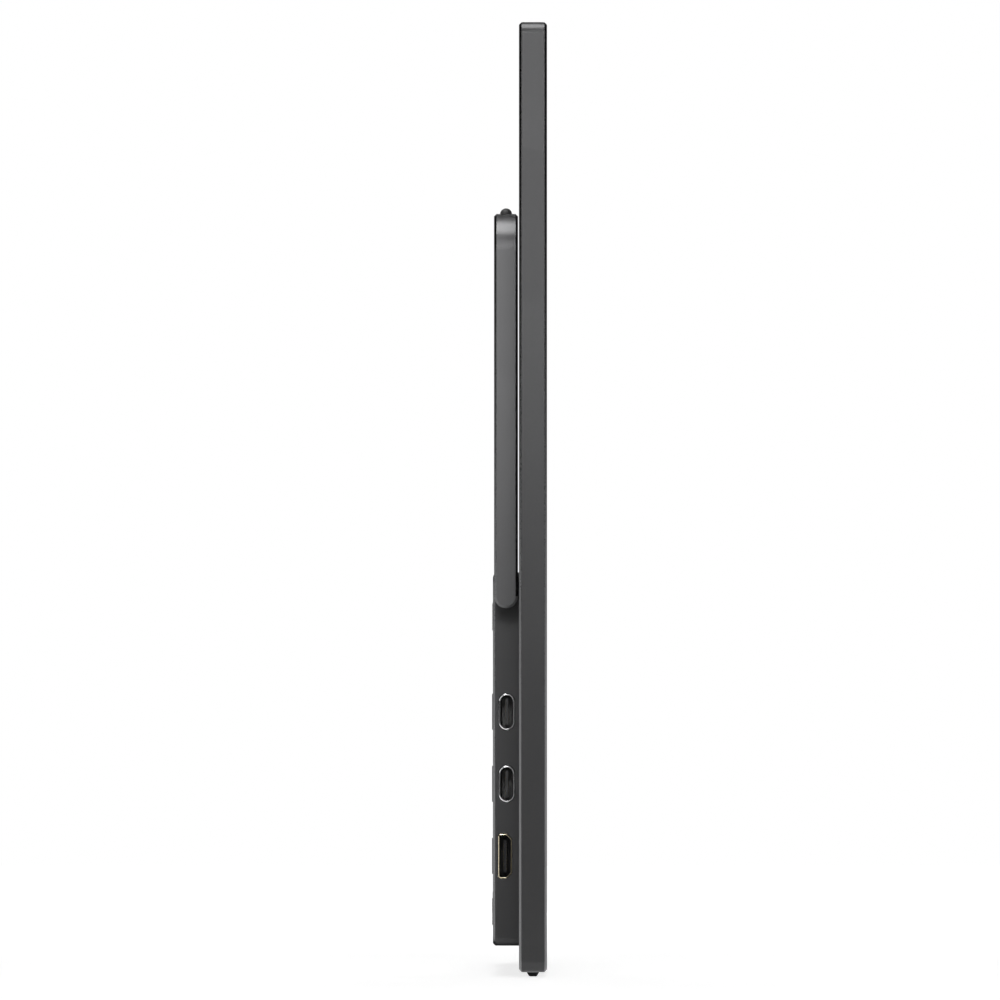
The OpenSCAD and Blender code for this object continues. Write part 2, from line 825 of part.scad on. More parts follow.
// The lamps that shine into the guide's lower edge, on their circuit strip
module led_strip() {
  color([0.95, 0.9, 0.6]) {
    translate([-led_strip_l / 2, guide_y, led_z])
      cube([led_strip_l, guide_t, led_strip_t]);
    for (i = [0 : led_count - 1])
      translate([-led_strip_l / 2 + led_pitch * (i + 0.5), guide_y, led_z + led_strip_t])
        translate([-led_l / 2, 0, 0])
          cube([led_l, guide_t, led_h]);
  }
}

// The sheet-metal tray that holds the screen's layers
module screen_tray() {
  color([0.65, 0.66, 0.68])
    difference() {
      translate([-tray_in_w / 2 - tray_rim, glass_y, tray_in_z - tray_rim])
        cube([tray_in_w + 2 * tray_rim, plate_y - glass_y, tray_in_h + 2 * tray_rim]);
      translate([-tray_in_w / 2, glass_y - cut, tray_in_z])
        cube([tray_in_w, tray_y - glass_y + cut, tray_in_h]);
      // Notches for the drive films
      at_drive_films()
        translate([0, glass_y - cut, tray_in_z - tray_rim - cut])
          translate([-film_strip_w / 2 - layer_gap, 0, 0])
            cube([film_strip_w + 2 * layer_gap, films_t + glass_t + cut, tray_rim + 2 * cut]);
    }
}

// Places for the drive films along the glass
module at_drive_films() {
  for (i = [0 : film_strips - 1])
    translate([driver_l * ((i + 0.5) / film_strips - 0.5), 0, 0])
      children();
}

// The board that drives the picture, with its socket for the flat cable
module driver_board() {
  color([0.1, 0.35, 0.2]) {
    translate([-driver_l / 2, driver_y, driver_z])
      cube([driver_l, driver_t, driver_h]);
    translate([-cable_w / 2 - cable_plug_w, driver_y - driver_t, driver_z + driver_h / 2])
      cube([cable_w + 2 * cable_plug_w, driver_t, driver_h / 4]);
  }
}

// The thin films that join the driver board to the glass
module drive_films() {
  film_y = films_y - drive_film_t;
  color([0.75, 0.5, 0.2])
    at_drive_films() {
      // From the board's face forward, then up to the glass's lower edge
      translate([-film_strip_w / 2, film_y, driver_z + driver_h / 4])
        cube([film_strip_w, driver_y - film_y, drive_film_t]);
      translate([-film_strip_w / 2, film_y, driver_z + driver_h / 4])
        cube([film_strip_w, drive_film_t, glass_z - driver_z - driver_h / 4]);
    }
}

// The flat cable from the driver board to the main board
module display_cable() {
  socket_z = driver_z + driver_h * 3 / 4;
  start_y = driver_y - driver_t;
  color([0.85, 0.65, 0.2])
    translate([-cable_w / 2, 0, 0]) {
      translate([0, start_y, socket_z])
        cube([cable_w, cable_t, cable_z + cable_t / 2 - socket_z]);
      translate([0, start_y, cable_z - cable_t / 2])
        cube([cable_w, cable_y + cable_t - start_y, cable_t]);
      translate([0, cable_y, cable_z - cable_t / 2])
        cube([cable_w, cable_t, board_z + 1 - cable_z]);
    }
}

// Rubber feet let into the shell's lower wall
module bottom_feet() {
  color([0.06, 0.06, 0.06])
    both_sides()
      translate([foot_x - foot_l / 2, front_y + panel_t / 2, foot_h])
        rotate([90, 0, 90])
          linear_extrude(foot_l)
            polygon(foot_outline());
}

// One grille or vent: ribs to add, or the slots between them to cut
module grille_ribs(l) {
  translate([0, 0, -rib_pitch + slot_w])
    for (i = [0 : slot_count])
      translate([-l / 2, 0, i * rib_pitch])
        cube([l, relief + cut, rib_pitch - slot_w]);
}

module grille_slots(l) {
  for (i = [0 : slot_count - 1])
    translate([-l / 2, -cut, i * rib_pitch])
      cube([l, cover_back + 2 * cut, slot_w]);
}

// The housing's moulded cover, with its sockets, slots, ribs and plain bars
module rear_cover() {
  color([0.22, 0.22, 0.23])
    difference() {
      union() {
        translate([0, back_y, housing_z])
          bevelled_slab(housing_w, housing_h, housing_t, housing_r, 0, housing_bevel);
        both_sides() {
          translate([grille_x, rear_y - cut, housing_z + grille_up])
            grille_ribs(grille_l);
          translate([grille_x, rear_y - cut, vent_z])
            grille_ribs(vent_l);
        }
        for (z = concat(usb_z, [hdmi_z]))
          translate([-side_x + bar_inset, rear_y - cut, z - bar_l / 2])
            cube([bar_w, relief + cut, bar_l]);
      }
      translate([0, back_y - cut, housing_z + cover_wall])
        rounded_plate(housing_w - 2 * cover_wall, housing_h - 2 * cover_wall,
          cover_inner_y - back_y + cut, housing_r - cover_wall);
      both_sides() {
        translate([grille_x, cover_inner_y, housing_z + grille_up])
          grille_slots(grille_l);
        translate([grille_x, cover_inner_y, vent_z])
          grille_slots(vent_l);
        // Room for the hinge's nut, and the hole for its shaft
        translate([shaft_x - 0.5, pivot_y, pivot_z - ear_h / 2 - 0.3])
          cube([wall_x - shaft_x + 0.5, cover_inner_y + hinge_pocket - pivot_y, ear_h + 0.6]);
        translate([wall_x - cut, pivot_y, pivot_z])
          rod_x(shaft_r + shaft_clear, cover_wall + 2 * cut);
      }
      at_vesa(cover_inner_y - cut)
        rod_y(vesa_nut_r + screw_clear, cover_back + 2 * cut);
      at_cover_screws(rear_y)
        screw_sink();
      for (z = usb_z)
        translate([-side_x - cut, key_y, z])
          oval_bar(ring_w + 2 * port_clear, ring_h + 2 * port_clear, cover_wall + 2 * cut);
      translate([-side_x - cut, back_y + hdmi_depth, hdmi_z])
        socket_bar(hdmi_w + 2 * port_clear, hdmi_h + 2 * port_clear, hdmi_cut, hdmi_nick,
          cover_wall + 2 * cut);
      translate([wall_x - cut, key_y, jack_z])
        rod_x(jack_nose_r + port_clear, cover_wall + 2 * cut);
      translate([wall_x - cut, key_y, power_z])
        oval_bar(power_l + 2 * key_gap, key_w + 2 * key_gap, cover_wall + 2 * cut);
      translate([wall_x - cut, key_y, rocker_z])
        oval_bar(rocker_l + 2 * rocker_gap, key_w + 2 * key_gap, cover_wall + 2 * cut);
      translate([wall_x - cut, key_y, lamp_z])
        rod_x(lamp_r, cover_wall + 2 * cut);
    }
}

// The countersunk hole for a cover screw, down from the rear face
module screw_sink() {
  grown = screw_r + screw_clear;
  rotate([90, 0, 0])
    translate([0, 0, -cut])
      rotate_extrude()
        polygon([[0, 0], [screw_head_r, 0], [screw_head_r, cut], [grown, cut + screw_head_t],
          [grown, 2 * cut + cover_back], [0, 2 * cut + cover_back]]);
}

// The main circuit board, notched for the headphone jack
module main_board() {
  color([0.08, 0.3, 0.18])
    difference() {
      translate([0, board_top_y, 0])
        rotate([90, 0, 0])
          linear_extrude(board_t)
            polygon([[-board_x, board_z], [board_x, board_z], [board_x, board_step_z],
              [board_step_x, board_step_z], [board_step_x, board_z + board_h],
              [-board_x, board_z + board_h]]);
      translate([wall_x - jack_l - jack_clear, board_y - cut, jack_z - jack_w / 2 - jack_clear])
        cube([jack_l + cut, board_t + 2 * cut, jack_w + 2 * jack_clear]);
      at_board_screws(board_y - cut)
        rod_y(screw_r + screw_clear, board_t + 2 * cut);
    }
}

// Chips, coils and cable sockets on the main board
module board_chips() {
  color([0.1, 0.1, 0.1])
    for (chip = chip_sites)
      translate([chip[0], board_top_y, board_z + chip[1]])
        block(chip[2], chip[4], chip[3]);
}

// The aluminium plate on the scaler chip
module heat_spreader() {
  color([0.75, 0.76, 0.78])
    translate([spreader_x, board_top_y + scaler_t, spreader_z])
      block(spreader_l, spreader_t, spreader_h);
}

// One oval socket's metal shell, at height z
module usb_c_shell(z) {
  color([0.6, 0.6, 0.62])
    translate([-side_x, key_y, z])
      difference() {
        union() {
          oval_bar(ring_w, ring_h, cover_wall);
          oval_bar(usb_w + 2 * usb_wall, usb_shell_h, usb_l);
        }
        translate([-cut, 0, 0])
          oval_bar(usb_w, usb_h, usb_l - usb_wall + cut);
        oval_funnel(usb_w, usb_h, usb_lead);
      }
}

module usb_c_shell_upper() {
  usb_c_shell(usb_z[0]);
}

module usb_c_shell_lower() {
  usb_c_shell(usb_z[1]);
}

// The contact tongues of both oval sockets
module usb_c_tongues() {
  color([0.05, 0.05, 0.05])
    for (z = usb_z)
      translate([-side_x + tongue_back, key_y - tongue_t / 2, z - tongue_w / 2])
        cube([usb_l - usb_wall - tongue_back, tongue_t, tongue_w]);
}

// The six-sided socket's metal shell, on its four legs
module mini_hdmi_shell() {
  inner_w = hdmi_w - 2 * hdmi_wall;
  inner_h = hdmi_h - 2 * hdmi_wall;
  shell_y = back_y + hdmi_depth - hdmi_h / 2;
  color([0.75, 0.6, 0.3]) {
    translate([-side_x, back_y + hdmi_depth, hdmi_z])
      difference() {
        socket_bar(hdmi_w, hdmi_h, hdmi_cut, hdmi_nick, hdmi_l);
        translate([-cut, 0, 0])
          socket_bar(inner_w, inner_h, hdmi_cut - hdmi_wall / 2, hdmi_nick - hdmi_wall / 2,
            hdmi_l - hdmi_wall + cut);
      }
    for (x = [cover_wall + 2, hdmi_l - socket_leg], side = [-1, 1])
      translate([-side_x + x, board_top_y, hdmi_z + side * (hdmi_w / 2 - hdmi_cut - socket_leg)])
        translate([0, 0, -socket_leg / 2])
          cube([socket_leg, shell_y + hdmi_wall / 2 - board_top_y, socket_leg]);
  }
}

// The contact tongue of the six-sided socket
module mini_hdmi_tongue() {
  color([0.05, 0.05, 0.05])
    translate([-side_x + tongue_back, back_y + hdmi_depth - hdmi_tongue_t / 2,
      hdmi_z - hdmi_tongue_w / 2])
      cube([hdmi_l - hdmi_wall - tongue_back, hdmi_tongue_t, hdmi_tongue_w]);
}

// The headphone jack, in the main board's notch and through the housing's side
module headphone_jack() {
  color([0.05, 0.05, 0.05])
    difference() {
      union() {
        translate([wall_x - jack_l, key_y - jack_h / 2, jack_z - jack_w / 2])
          cube([jack_l, jack_h, jack_w]);
        translate([wall_x, key_y, jack_z])
          rod_x(jack_nose_r, cover_wall);
      }
      translate([side_x - jack_bore, key_y, jack_z])
        rod_x(jack_r, jack_bore + cut);
    }
}

// The upright board behind the keys
module key_board() {
  color([0.08, 0.3, 0.18])
    translate([key_board_x, back_y + key_board_gap, key_board_z])
      cube([key_board_t, housing_t - cover_back - 2 * key_board_gap,
        key_board_top - key_board_z]);
}

// The three push switches on the key board
module tact_switches() {
  color([0.5, 0.5, 0.52])
    for (z = switch_z) {
      translate([key_face_x, key_y - switch_w / 2, z - switch_l / 2])
        cube([switch_d, switch_w, switch_l]);
      translate([key_face_x, key_y, z])
        rod_x(plunger_r, switch_d + plunger_l);
    }
}

// The clip that holds the rocker's pin
module rocker_bracket() {
  ear_y = rocker_boss_w / 2 + ear_gap;
  color([0.7, 0.7, 0.72])
    difference() {
      union() {
        translate([key_face_x, key_y - ear_y - clip_t, rocker_z - clip_w / 2])
          cube([clip_base_t, 2 * (ear_y + clip_t), clip_w]);
        for (y = [key_y - ear_y - clip_t, key_y + ear_y])
          translate([key_face_x, y, rocker_z - clip_w / 2])
            cube([pin_x + boss_pin_r - key_face_x, clip_t, clip_w]);
      }
      translate([pin_x, key_y - ear_y - clip_t - cut, rocker_z])
        rod_y(pin_r, 2 * (ear_y + clip_t + cut));
    }
}

// The pin that the rocker turns on
module rocker_pin() {
  half = rocker_boss_w / 2 + ear_gap + clip_t;
  color([0.8, 0.8, 0.82])
    translate([pin_x, key_y - half, rocker_z])
      rod_y(pin_r, 2 * half);
}

// The light pipe of the status light, from its board through the side wall
module status_light() {
  color([0.9, 0.95, 1])
    translate([key_face_x, key_y, lamp_z])
      rod_x(lamp_r, side_x - key_face_x);
}

// The power button, with its flange inside the wall
module power_button() {
  flange_x = wall_x - power_rest - flange_t;
  color([0.16, 0.16, 0.17]) {
    translate([flange_x, key_y, power_z])
      oval_bar(power_l, key_w, side_x + key_proud - flange_x);
    translate([flange_x, key_y, power_z])
      oval_bar(power_l + 2 * flange_lip, key_w + 2 * flange_lip, flange_t);
    translate([power_end_x, key_y, power_z])
      rod_x(plunger_r, flange_x + flange_t / 2 - power_end_x);
  }
}

// The rocker, which tips about its pin to press one of two switches
module menu_rocker() {
  flange_x = wall_x - rocker_rest - flange_t;
  color([0.16, 0.16, 0.17])
    difference() {
      union() {
        translate([flange_x, key_y, rocker_z])
          oval_bar(rocker_l, key_w, side_x + key_proud - flange_x);
        translate([flange_x, key_y, rocker_z])
          oval_bar(rocker_l + 2 * flange_lip, key_w + 2 * flange_lip, flange_t);
        translate([pin_x, key_y - rocker_boss_w / 2, rocker_z])
          rod_y(boss_pin_r, rocker_boss_w);
        translate([pin_x, key_y - rocker_boss_w / 2, rocker_z - boss_pin_r])
          cube([flange_x + flange_t / 2 - pin_x, rocker_boss_w, 2 * boss_pin_r]);
        for (side = [-1, 1])
          translate([rocker_end_x, key_y, rocker_z + side * rocker_reach])
            rod_x(plunger_r, flange_x + flange_t / 2 - rocker_end_x);
      }
      translate([pin_x, key_y - rocker_boss_w / 2 - cut, rocker_z])
        rod_y(pin_r + pin_fit, rocker_boss_w + 2 * cut);
    }
}

// One speaker box on the right side, with a sunk seat for its membrane
module speaker() {
  color([0.07, 0.07, 0.07])
    difference() {
      translate([speaker_x - speaker_l / 2, back_y, speaker_z])
        cube([speaker_l, speaker_t, speaker_h]);
      translate([grille_x, back_y + speaker_t - membrane_sink, speaker_z + speaker_h / 2])
        translate([0, 0, -cone_h / 2])
          rounded_plate(cone_l, cone_h, membrane_sink + cut, cone_h / 3);
    }
}

module speaker_right() {
  speaker();
}

module speaker_left() {
  mirror([1, 0, 0])
    speaker();
}

// Both speakers' membranes
module speaker_membranes() {
  color([0.3, 0.3, 0.3])
    both_sides()
      translate([grille_x, back_y + speaker_t - membrane_sink, speaker_z + speaker_h / 2])
        translate([0, 0, -cone_h / 2])
          rounded_plate(cone_l, cone_h, membrane_t, cone_h / 3);
}

// Foam rims that seal the speakers to the cover
module speaker_gaskets() {
  rim_l = grille_l + 4 * gasket_rim;
  rim_h = speaker_h - 1;
  color([0.12, 0.12, 0.12])
    both_sides()
      translate([grille_x, back_y + speaker_t, speaker_z + speaker_h / 2])
        difference() {
          block(rim_l, cover_inner_y - back_y - speaker_t, rim_h);
          translate([0, -cut, 0])
            block(rim_l - 2 * gasket_rim, cover_inner_y - back_y, rim_h - 2 * gasket_rim);
        }
}

// The speakers' leads, up to their sockets on the main board
module speaker_leads() {
  start_z = speaker_z + speaker_h;
  color([0.7, 0.1, 0.1])
    both_sides()
      for (side = [-1, 1])
        translate([lead_x + side * lead_step / 2, board_top_y + lead_r + lead_lift, start_z])
          cylinder(r = lead_r, h = board_z + 1 - start_z);
}

// Steel straps on the back plate that carry the wall-bracket nuts
module vesa_straps() {
  color([0.6, 0.6, 0.62])
    for (z = vesa_z)
      translate([0, back_y, z])
        block(vesa_pitch + 2 * strap_end, strap_t, strap_h);
}

// Threaded nuts for a wall bracket, open at the rear face
module vesa_nuts() {
  color([0.75, 0.62, 0.3])
    at_vesa(back_y + strap_t)
      difference() {
        rod_y(vesa_nut_r, housing_t - strap_t);
        translate([0, housing_t - strap_t - vesa_depth, 0])
          rod_y(vesa_r, vesa_depth + cut);
      }
}

// Threaded standoffs between the back plate and the cover
module cover_standoffs() {
  color([0.75, 0.62, 0.3])
    at_cover_screws(plate_y)
      difference() {
        union() {
          rod_y(spigot_r, shell_back);
          translate([0, shell_back, 0])
            rod_y(standoff_r, cover_inner_y - back_y);
        }
        translate([0, cover_inner_y - plate_y - screw_grip, 0])
          rod_y(screw_r, screw_grip + cut);
      }
}

// Flat-headed screws that hold the cover
module cover_screws() {
  color([0.15, 0.15, 0.15])
    at_cover_screws(rear_y)
      flat_screw(cover_back + screw_grip - screw_head_t / 2);
}

// Screws that hold the main board
module board_screws() {
  color([0.6, 0.6, 0.62])
    at_board_screws(board_top_y)
      pan_screw(board_t + shell_back - 2 * boss_hole_left);
}

// Screws that hold the hinge brackets
module bracket_screws() {
  color([0.6, 0.6, 0.62])
    at_bracket_screws(back_y + bracket_t)
      pan_screw(bracket_t + shell_back - 2 * bracket_screw_left);
}

// The hinge bracket on the right side: a base plate and an ear that carries the shaft
module hinge_bracket() {
  color([0.62, 0.63, 0.65])
    difference() {
      union() {
        translate([bracket_x, back_y, bracket_z])
          cube([bracket_l, bracket_t, bracket_h]);
        translate([ear_x, back_y, pivot_z - ear_h / 2])
          cube([ear_t, pivot_y + ear_top - back_y, ear_h]);
      }
      translate([ear_x - cut, pivot_y, pivot_z])
        rod_x(shaft_r + shaft_fit, ear_t + 2 * cut);
      for (x = bracket_screw_x)
        translate([x, back_y - cut, bracket_screw_z])
          rod_y(screw_r + screw_clear, bracket_t + 2 * cut);
    }
}

module hinge_bracket_right() {
  hinge_bracket();
}

module hinge_bracket_left() {
  mirror([1, 0, 0])
    hinge_bracket();
}

// The keyed end of a shaft, along +X from the arm's inner face
module keyed_end(extra) {
  difference() {
    translate([-extra, 0, 0])
      rod_x(shaft_r, shaft_grip + extra);
    translate([0, shaft_r - shaft_flat, -shaft_r])
      cube([shaft_grip + cut, shaft_flat + cut, 2 * shaft_r]);
  }
}

// The stand: two arms and a cross bar in one piece
module stand_frame() {
  slab_z = pivot_z - 2 * stand_r;
  stand_top = pivot_z + stand_l;
  color([0.36, 0.36, 0.37])
    difference() {
      union() {
        difference() {
          translate([0, pivot_y - stand_t / 2, slab_z])
            bevelled_slab(stand_w, stand_top - slab_z, stand_t, stand_r, stand_bevel,
              stand_bevel);
          translate([0, pivot_y - stand_t / 2 - cut, slab_z - cut])
            bevelled_slab(2 * arm_x, stand_top - cross_h - slab_z + cut, stand_t + 2 * cut,
              stand_inner_r, -stand_bevel - cut, -stand_bevel - cut);
          translate([-stand_w / 2 - cut, pivot_y - stand_t / 2 - cut, slab_z - 2 * cut])
            cube([stand_w + 2 * cut, stand_t + 2 * cut, pivot_z - slab_z + 2 * cut]);
        }
        both_sides()
          translate([arm_x, pivot_y, pivot_z])
            rotate([0, 90, 0])
              bevelled_disc(stand_t / 2, arm_w, stand_bevel, stand_bevel);
      }
      both_sides() {
        translate([arm_x, pivot_y, pivot_z])
          keyed_end(cut);
        translate([pad_x - pad_l / 2 + pad_w / 2, pivot_y - pad_root_w / 2, stand_top - pad_root])
          cube([pad_l - pad_w, pad_root_w, pad_root + cut]);
      }
    }
}

// Half-round rubber pads along the stand's end, rooted in it
module stand_pads() {
  stand_top = pivot_z + stand_l;
  straight = pad_l - pad_w;
  color([0.08, 0.08, 0.08])
    both_sides() {
      difference() {
        translate([pad_x - straight / 2, pivot_y, stand_top]) {
          rod_x(pad_w / 2, straight);
          for (x = [0, straight])
            translate([x, 0, 0])
              sphere(pad_w / 2);
        }
        translate([pad_x - pad_l, pivot_y - pad_w, stand_top - pad_w])
          cube([2 * pad_l, 2 * pad_w, pad_w]);
      }
      translate([pad_x - straight / 2, pivot_y - pad_root_w / 2, stand_top - pad_root])
        cube([straight, pad_root_w, pad_root + pad_w / 4]);
    }
}

// The shaft on the right side: keyed in the arm, with a collar outside the bracket's ear
module hinge_shaft() {
  color([0.7, 0.71, 0.73]) {
    translate([shaft_x, pivot_y, pivot_z])
      rod_x(shaft_r, arm_x - shaft_x);
    translate([collar_x, pivot_y, pivot_z])
      rod_x(collar_r, collar_t);
    translate([arm_x, pivot_y, pivot_z])
      keyed_end(turn_gap);
  }
}

module hinge_shaft_right() {
  hinge_shaft();
}

module hinge_shaft_left() {
  mirror([1, 0, 0])
    hinge_shaft();
}

// Spring washers that set the hinge's friction
module hinge_washers() {
  color([0.5, 0.5, 0.52])
    both_sides()
      translate([washer_x, pivot_y, pivot_z])
        difference() {
          rod_x(collar_r, washer_count * washer_t);
          translate([-cut, 0, 0])
            rod_x(shaft_r, washer_count * washer_t + 2 * cut);
          for (i = [1 : 1 : washer_count - 1])
            translate([i * washer_t - turn_gap / 2, 0, 0])
              difference() {
                rod_x(collar_r + cut, turn_gap);
                translate([-cut, 0, 0])
                  rod_x((collar_r + shaft_r) / 2, turn_gap + 2 * cut);
              }
        }
}

// Nuts that press the washers together
module hinge_nuts() {
  color([0.55, 0.55, 0.57])
    both_sides()
      translate([nut_x, pivot_y, pivot_z])
        difference() {
          rotate([0, 90, 0])
            cylinder(r = nut_r, h = nut_t, $fn = 6);
          translate([-cut, 0, 0])
            rod_x(shaft_r, nut_t + 2 * cut);
        }
}

display_shell();
front_bezel();
lcd_glass();
optical_films();
light_guide();
reflector_sheet();
led_strip();
screen_tray();
driver_board();
drive_films();
display_cable();
bottom_feet();
rear_cover();
main_board();
board_chips();
heat_spreader();
usb_c_shell_upper();
usb_c_shell_lower();
usb_c_tongues();
mini_hdmi_shell();
mini_hdmi_tongue();
headphone_jack();
key_board();
tact_switches();
rocker_bracket();
rocker_pin();
status_light();
power_button();
menu_rocker();
speaker_left();
speaker_right();
speaker_membranes();
speaker_gaskets();
speaker_leads();
vesa_straps();
vesa_nuts();
cover_standoffs();
cover_screws();
board_screws();
hinge_bracket_left();
hinge_bracket_right();
bracket_screws();
stand_frame();
stand_pads();
hinge_shaft_left();
hinge_shaft_right();
hinge_washers();
hinge_nuts();
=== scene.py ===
import math

import bmesh
import bpy
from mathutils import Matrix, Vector


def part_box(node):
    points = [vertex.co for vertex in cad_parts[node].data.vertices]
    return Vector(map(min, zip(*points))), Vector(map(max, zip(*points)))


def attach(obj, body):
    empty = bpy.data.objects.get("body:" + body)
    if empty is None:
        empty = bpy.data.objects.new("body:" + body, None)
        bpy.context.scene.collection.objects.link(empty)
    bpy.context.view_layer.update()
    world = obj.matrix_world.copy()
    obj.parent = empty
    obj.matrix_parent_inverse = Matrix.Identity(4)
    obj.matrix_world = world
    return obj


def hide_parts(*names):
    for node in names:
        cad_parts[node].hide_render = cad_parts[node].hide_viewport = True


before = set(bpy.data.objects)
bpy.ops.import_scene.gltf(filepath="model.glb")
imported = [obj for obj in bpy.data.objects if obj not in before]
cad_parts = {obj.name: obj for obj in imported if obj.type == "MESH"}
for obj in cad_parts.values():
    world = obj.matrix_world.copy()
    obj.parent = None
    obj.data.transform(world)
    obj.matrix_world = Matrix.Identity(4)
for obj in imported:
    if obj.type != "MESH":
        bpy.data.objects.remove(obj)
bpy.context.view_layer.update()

# ---- Camera ----------------------------------------------------------------------------------
# The photograph is a side view from the left, level with the middle of the slab and from so far
# off that it has almost no perspective. The lens looks straight into the thin gap between the
# folded stand and the slab, so the picture is shifted a little instead of the aim.
view_width = 0.25
lens_mm = 1500.0
sensor_mm = 36.0
picture_px = 1000.0
gap_px = 518.5
aim_z = 0.11945
slab_low, slab_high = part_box("display_shell")
housing_low, housing_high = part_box("rear_cover")
stand_low, stand_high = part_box("stand_frame")
slab_back = housing_low[1]
gap_y = (slab_back + stand_low[1]) / 2
camera_data = bpy.data.cameras.new("side_camera")
camera_data.lens = lens_mm
camera_data.sensor_width = sensor_mm
camera_data.shift_x = (picture_px / 2 - gap_px) / picture_px
camera_data.clip_end = 100.0
camera = bpy.data.objects.new("side_camera", camera_data)
camera.location = (slab_low[0] - view_width * lens_mm / sensor_mm, gap_y, aim_z)
camera.rotation_euler = (math.radians(90), 0.0, math.radians(-90))
bpy.context.collection.objects.link(camera)
bpy.context.scene.camera = camera
bpy.context.scene.view_settings.view_transform = "Standard"


# ---- Room ------------------------------------------------------------------------------------
# A pale floor in soft light with white all round it, and black cards that gloss alone sees. The
# camera, gloss and glass see the white at full strength, and the floor takes a faint shadow.
class Tone:
    """A socket that can be reckoned with: sums and products on it add Math nodes."""

    def __init__(self, tree, socket=None):
        self.tree = tree
        self.socket = socket

    def node(self, kind, settings=None, values=None, out=0):
        """Any other node: its type, its settings, then the values or links of its sockets."""
        made = self.tree.nodes.new(kind)
        for key, value in (settings or {}).items():
            setattr(made, key, value)
        for key, value in (values or {}).items():
            if isinstance(value, Tone):
                self.tree.links.new(value.socket, made.inputs[key])
            else:
                made.inputs[key].default_value = value
        return Tone(self.tree, made.outputs[out])

    def reckon(self, operation, first, second):
        """A Math node on two values."""
        return self.node("ShaderNodeMath", {"operation": operation}, {0: first, 1: second})

    def __add__(self, other):
        return self.reckon("ADD", self, other)

    __radd__ = __add__

    def __mul__(self, other):
        return self.reckon("MULTIPLY", self, other)

    __rmul__ = __mul__

    def __sub__(self, other):
        return self.reckon("SUBTRACT", self, other)

    def __rsub__(self, other):
        return self.reckon("SUBTRACT", other, self)

    def coords(self):
        """The place on the piece, in metres."""
        return self.node("ShaderNodeTexCoord", out="Object")

    def blotch(self, scale, detail=2.0, stretch=(1.0, 1.0, 1.0)):
        """Noise from 0 to 1 over the piece, in patches about 1 / scale metres wide."""
        placed = self.node("ShaderNodeMapping", None,
                           {"Vector": self.coords(), "Scale": stretch})
        return self.node("ShaderNodeTexNoise", None,
                         {"Vector": placed, "Scale": scale, "Detail": detail})

    def between(self, mask, first, second):
        """A colour that runs from first to second as the mask runs from 0 to 1. The Mix node's
        sockets for colours share their names with others, so they are taken by number."""
        return self.node("ShaderNodeMix", {"data_type": "RGBA"},
                         {0: mask, 6: (*first, 1.0), 7: (*second, 1.0)}, out=2)

    def relief(self, height, depth):
        """A normal from a height of 0 to 1 that is depth metres deep."""
        return self.node("ShaderNodeBump", None, {"Distance": depth, "Height": height})


def new_finish(name, **plain):
    """A material, its shader with plain values set, and a Tone to build its pattern on."""
    material = bpy.data.materials.new(name)
    material.use_nodes = True
    shader = material.node_tree.nodes["Principled BSDF"]
    for key, value in plain.items():
        shader.inputs[key].default_value = value
    return material, shader, Tone(material.node_tree)


def vary(material, shader, **tones):
    """Links what changes over the surface: base_color, roughness, metallic or normal."""
    for key, tone in tones.items():
        material.node_tree.links.new(tone.socket, shader.inputs[key.replace("_", " ").title()])


def seen_share(tone):
    """1 on rays from the camera, from gloss and through glass, 0 where light is cast."""
    seen = tone.node("ShaderNodeLightPath", out="Is Camera Ray")
    for kind in ("Is Glossy Ray", "Is Transmission Ray"):
        seen = tone.reckon("MAXIMUM", seen, tone.node("ShaderNodeLightPath", out=kind))
    return seen


white = (1.0, 1.0, 1.0, 1.0)
fill_strength = 0.06
world = bpy.data.worlds.new("white_room")
world.use_nodes = True
bpy.context.scene.world = world
sky = Tone(world.node_tree)
fill = sky.node("ShaderNodeBackground", None, {"Color": white, "Strength": fill_strength})
shown = sky.node("ShaderNodeBackground", None, {"Color": white, "Strength": 1.0})
sky_mix = sky.node("ShaderNodeMixShader", None, {0: seen_share(sky), 1: fill, 2: shown})
world.node_tree.links.new(sky_mix.socket,
                          world.node_tree.nodes["World Output"].inputs["Surface"])


def new_sheet(name, corners, material):
    """One flat face of the room, which isn't part of the object."""
    mesh = bpy.data.meshes.new(name)
    mesh.from_pydata(corners, [], [(0, 1, 2, 3)])
    mesh.materials.append(material)
    made = bpy.data.objects.new(name, mesh)
    bpy.context.collection.objects.link(made)
    return made


floor_half = 3.0
near_glow = 0.74
glow_from = 0.2
glow_to = 1.0
pale, pale_shader, pale_tone = new_finish("pale_floor", **{"Specular IOR Level": 0.0})
vary(pale, pale_shader,
     base_color=pale_tone.between(pale_tone.blotch(3.0), (0.55, 0.55, 0.55), (0.58, 0.58, 0.58)),
     roughness=pale_tone.blotch(40.0) * 0.1 + 0.85)
away = pale_tone.node("ShaderNodeVectorMath", {"operation": "LENGTH"},
                      {0: pale_tone.coords()}, out="Value")
rise = pale_tone.node("ShaderNodeMapRange", {"interpolation_type": "SMOOTHSTEP"},
                      {"Value": away, "From Min": glow_from, "From Max": glow_to,
                       "To Min": near_glow, "To Max": 1.0})
glow = pale_tone.node("ShaderNodeEmission", None,
                      {"Color": white, "Strength": seen_share(pale_tone) * rise})
lit_floor = pale_tone.node("ShaderNodeAddShader", None,
                           {0: Tone(pale.node_tree, pale_shader.outputs[0]), 1: glow})
pale.node_tree.links.new(lit_floor.socket,
                         pale.node_tree.nodes["Material Output"].inputs["Surface"])
new_sheet("floor", [(-floor_half, -floor_half, 0), (floor_half, -floor_half, 0),
                    (floor_half, floor_half, 0), (-floor_half, floor_half, 0)], pale)


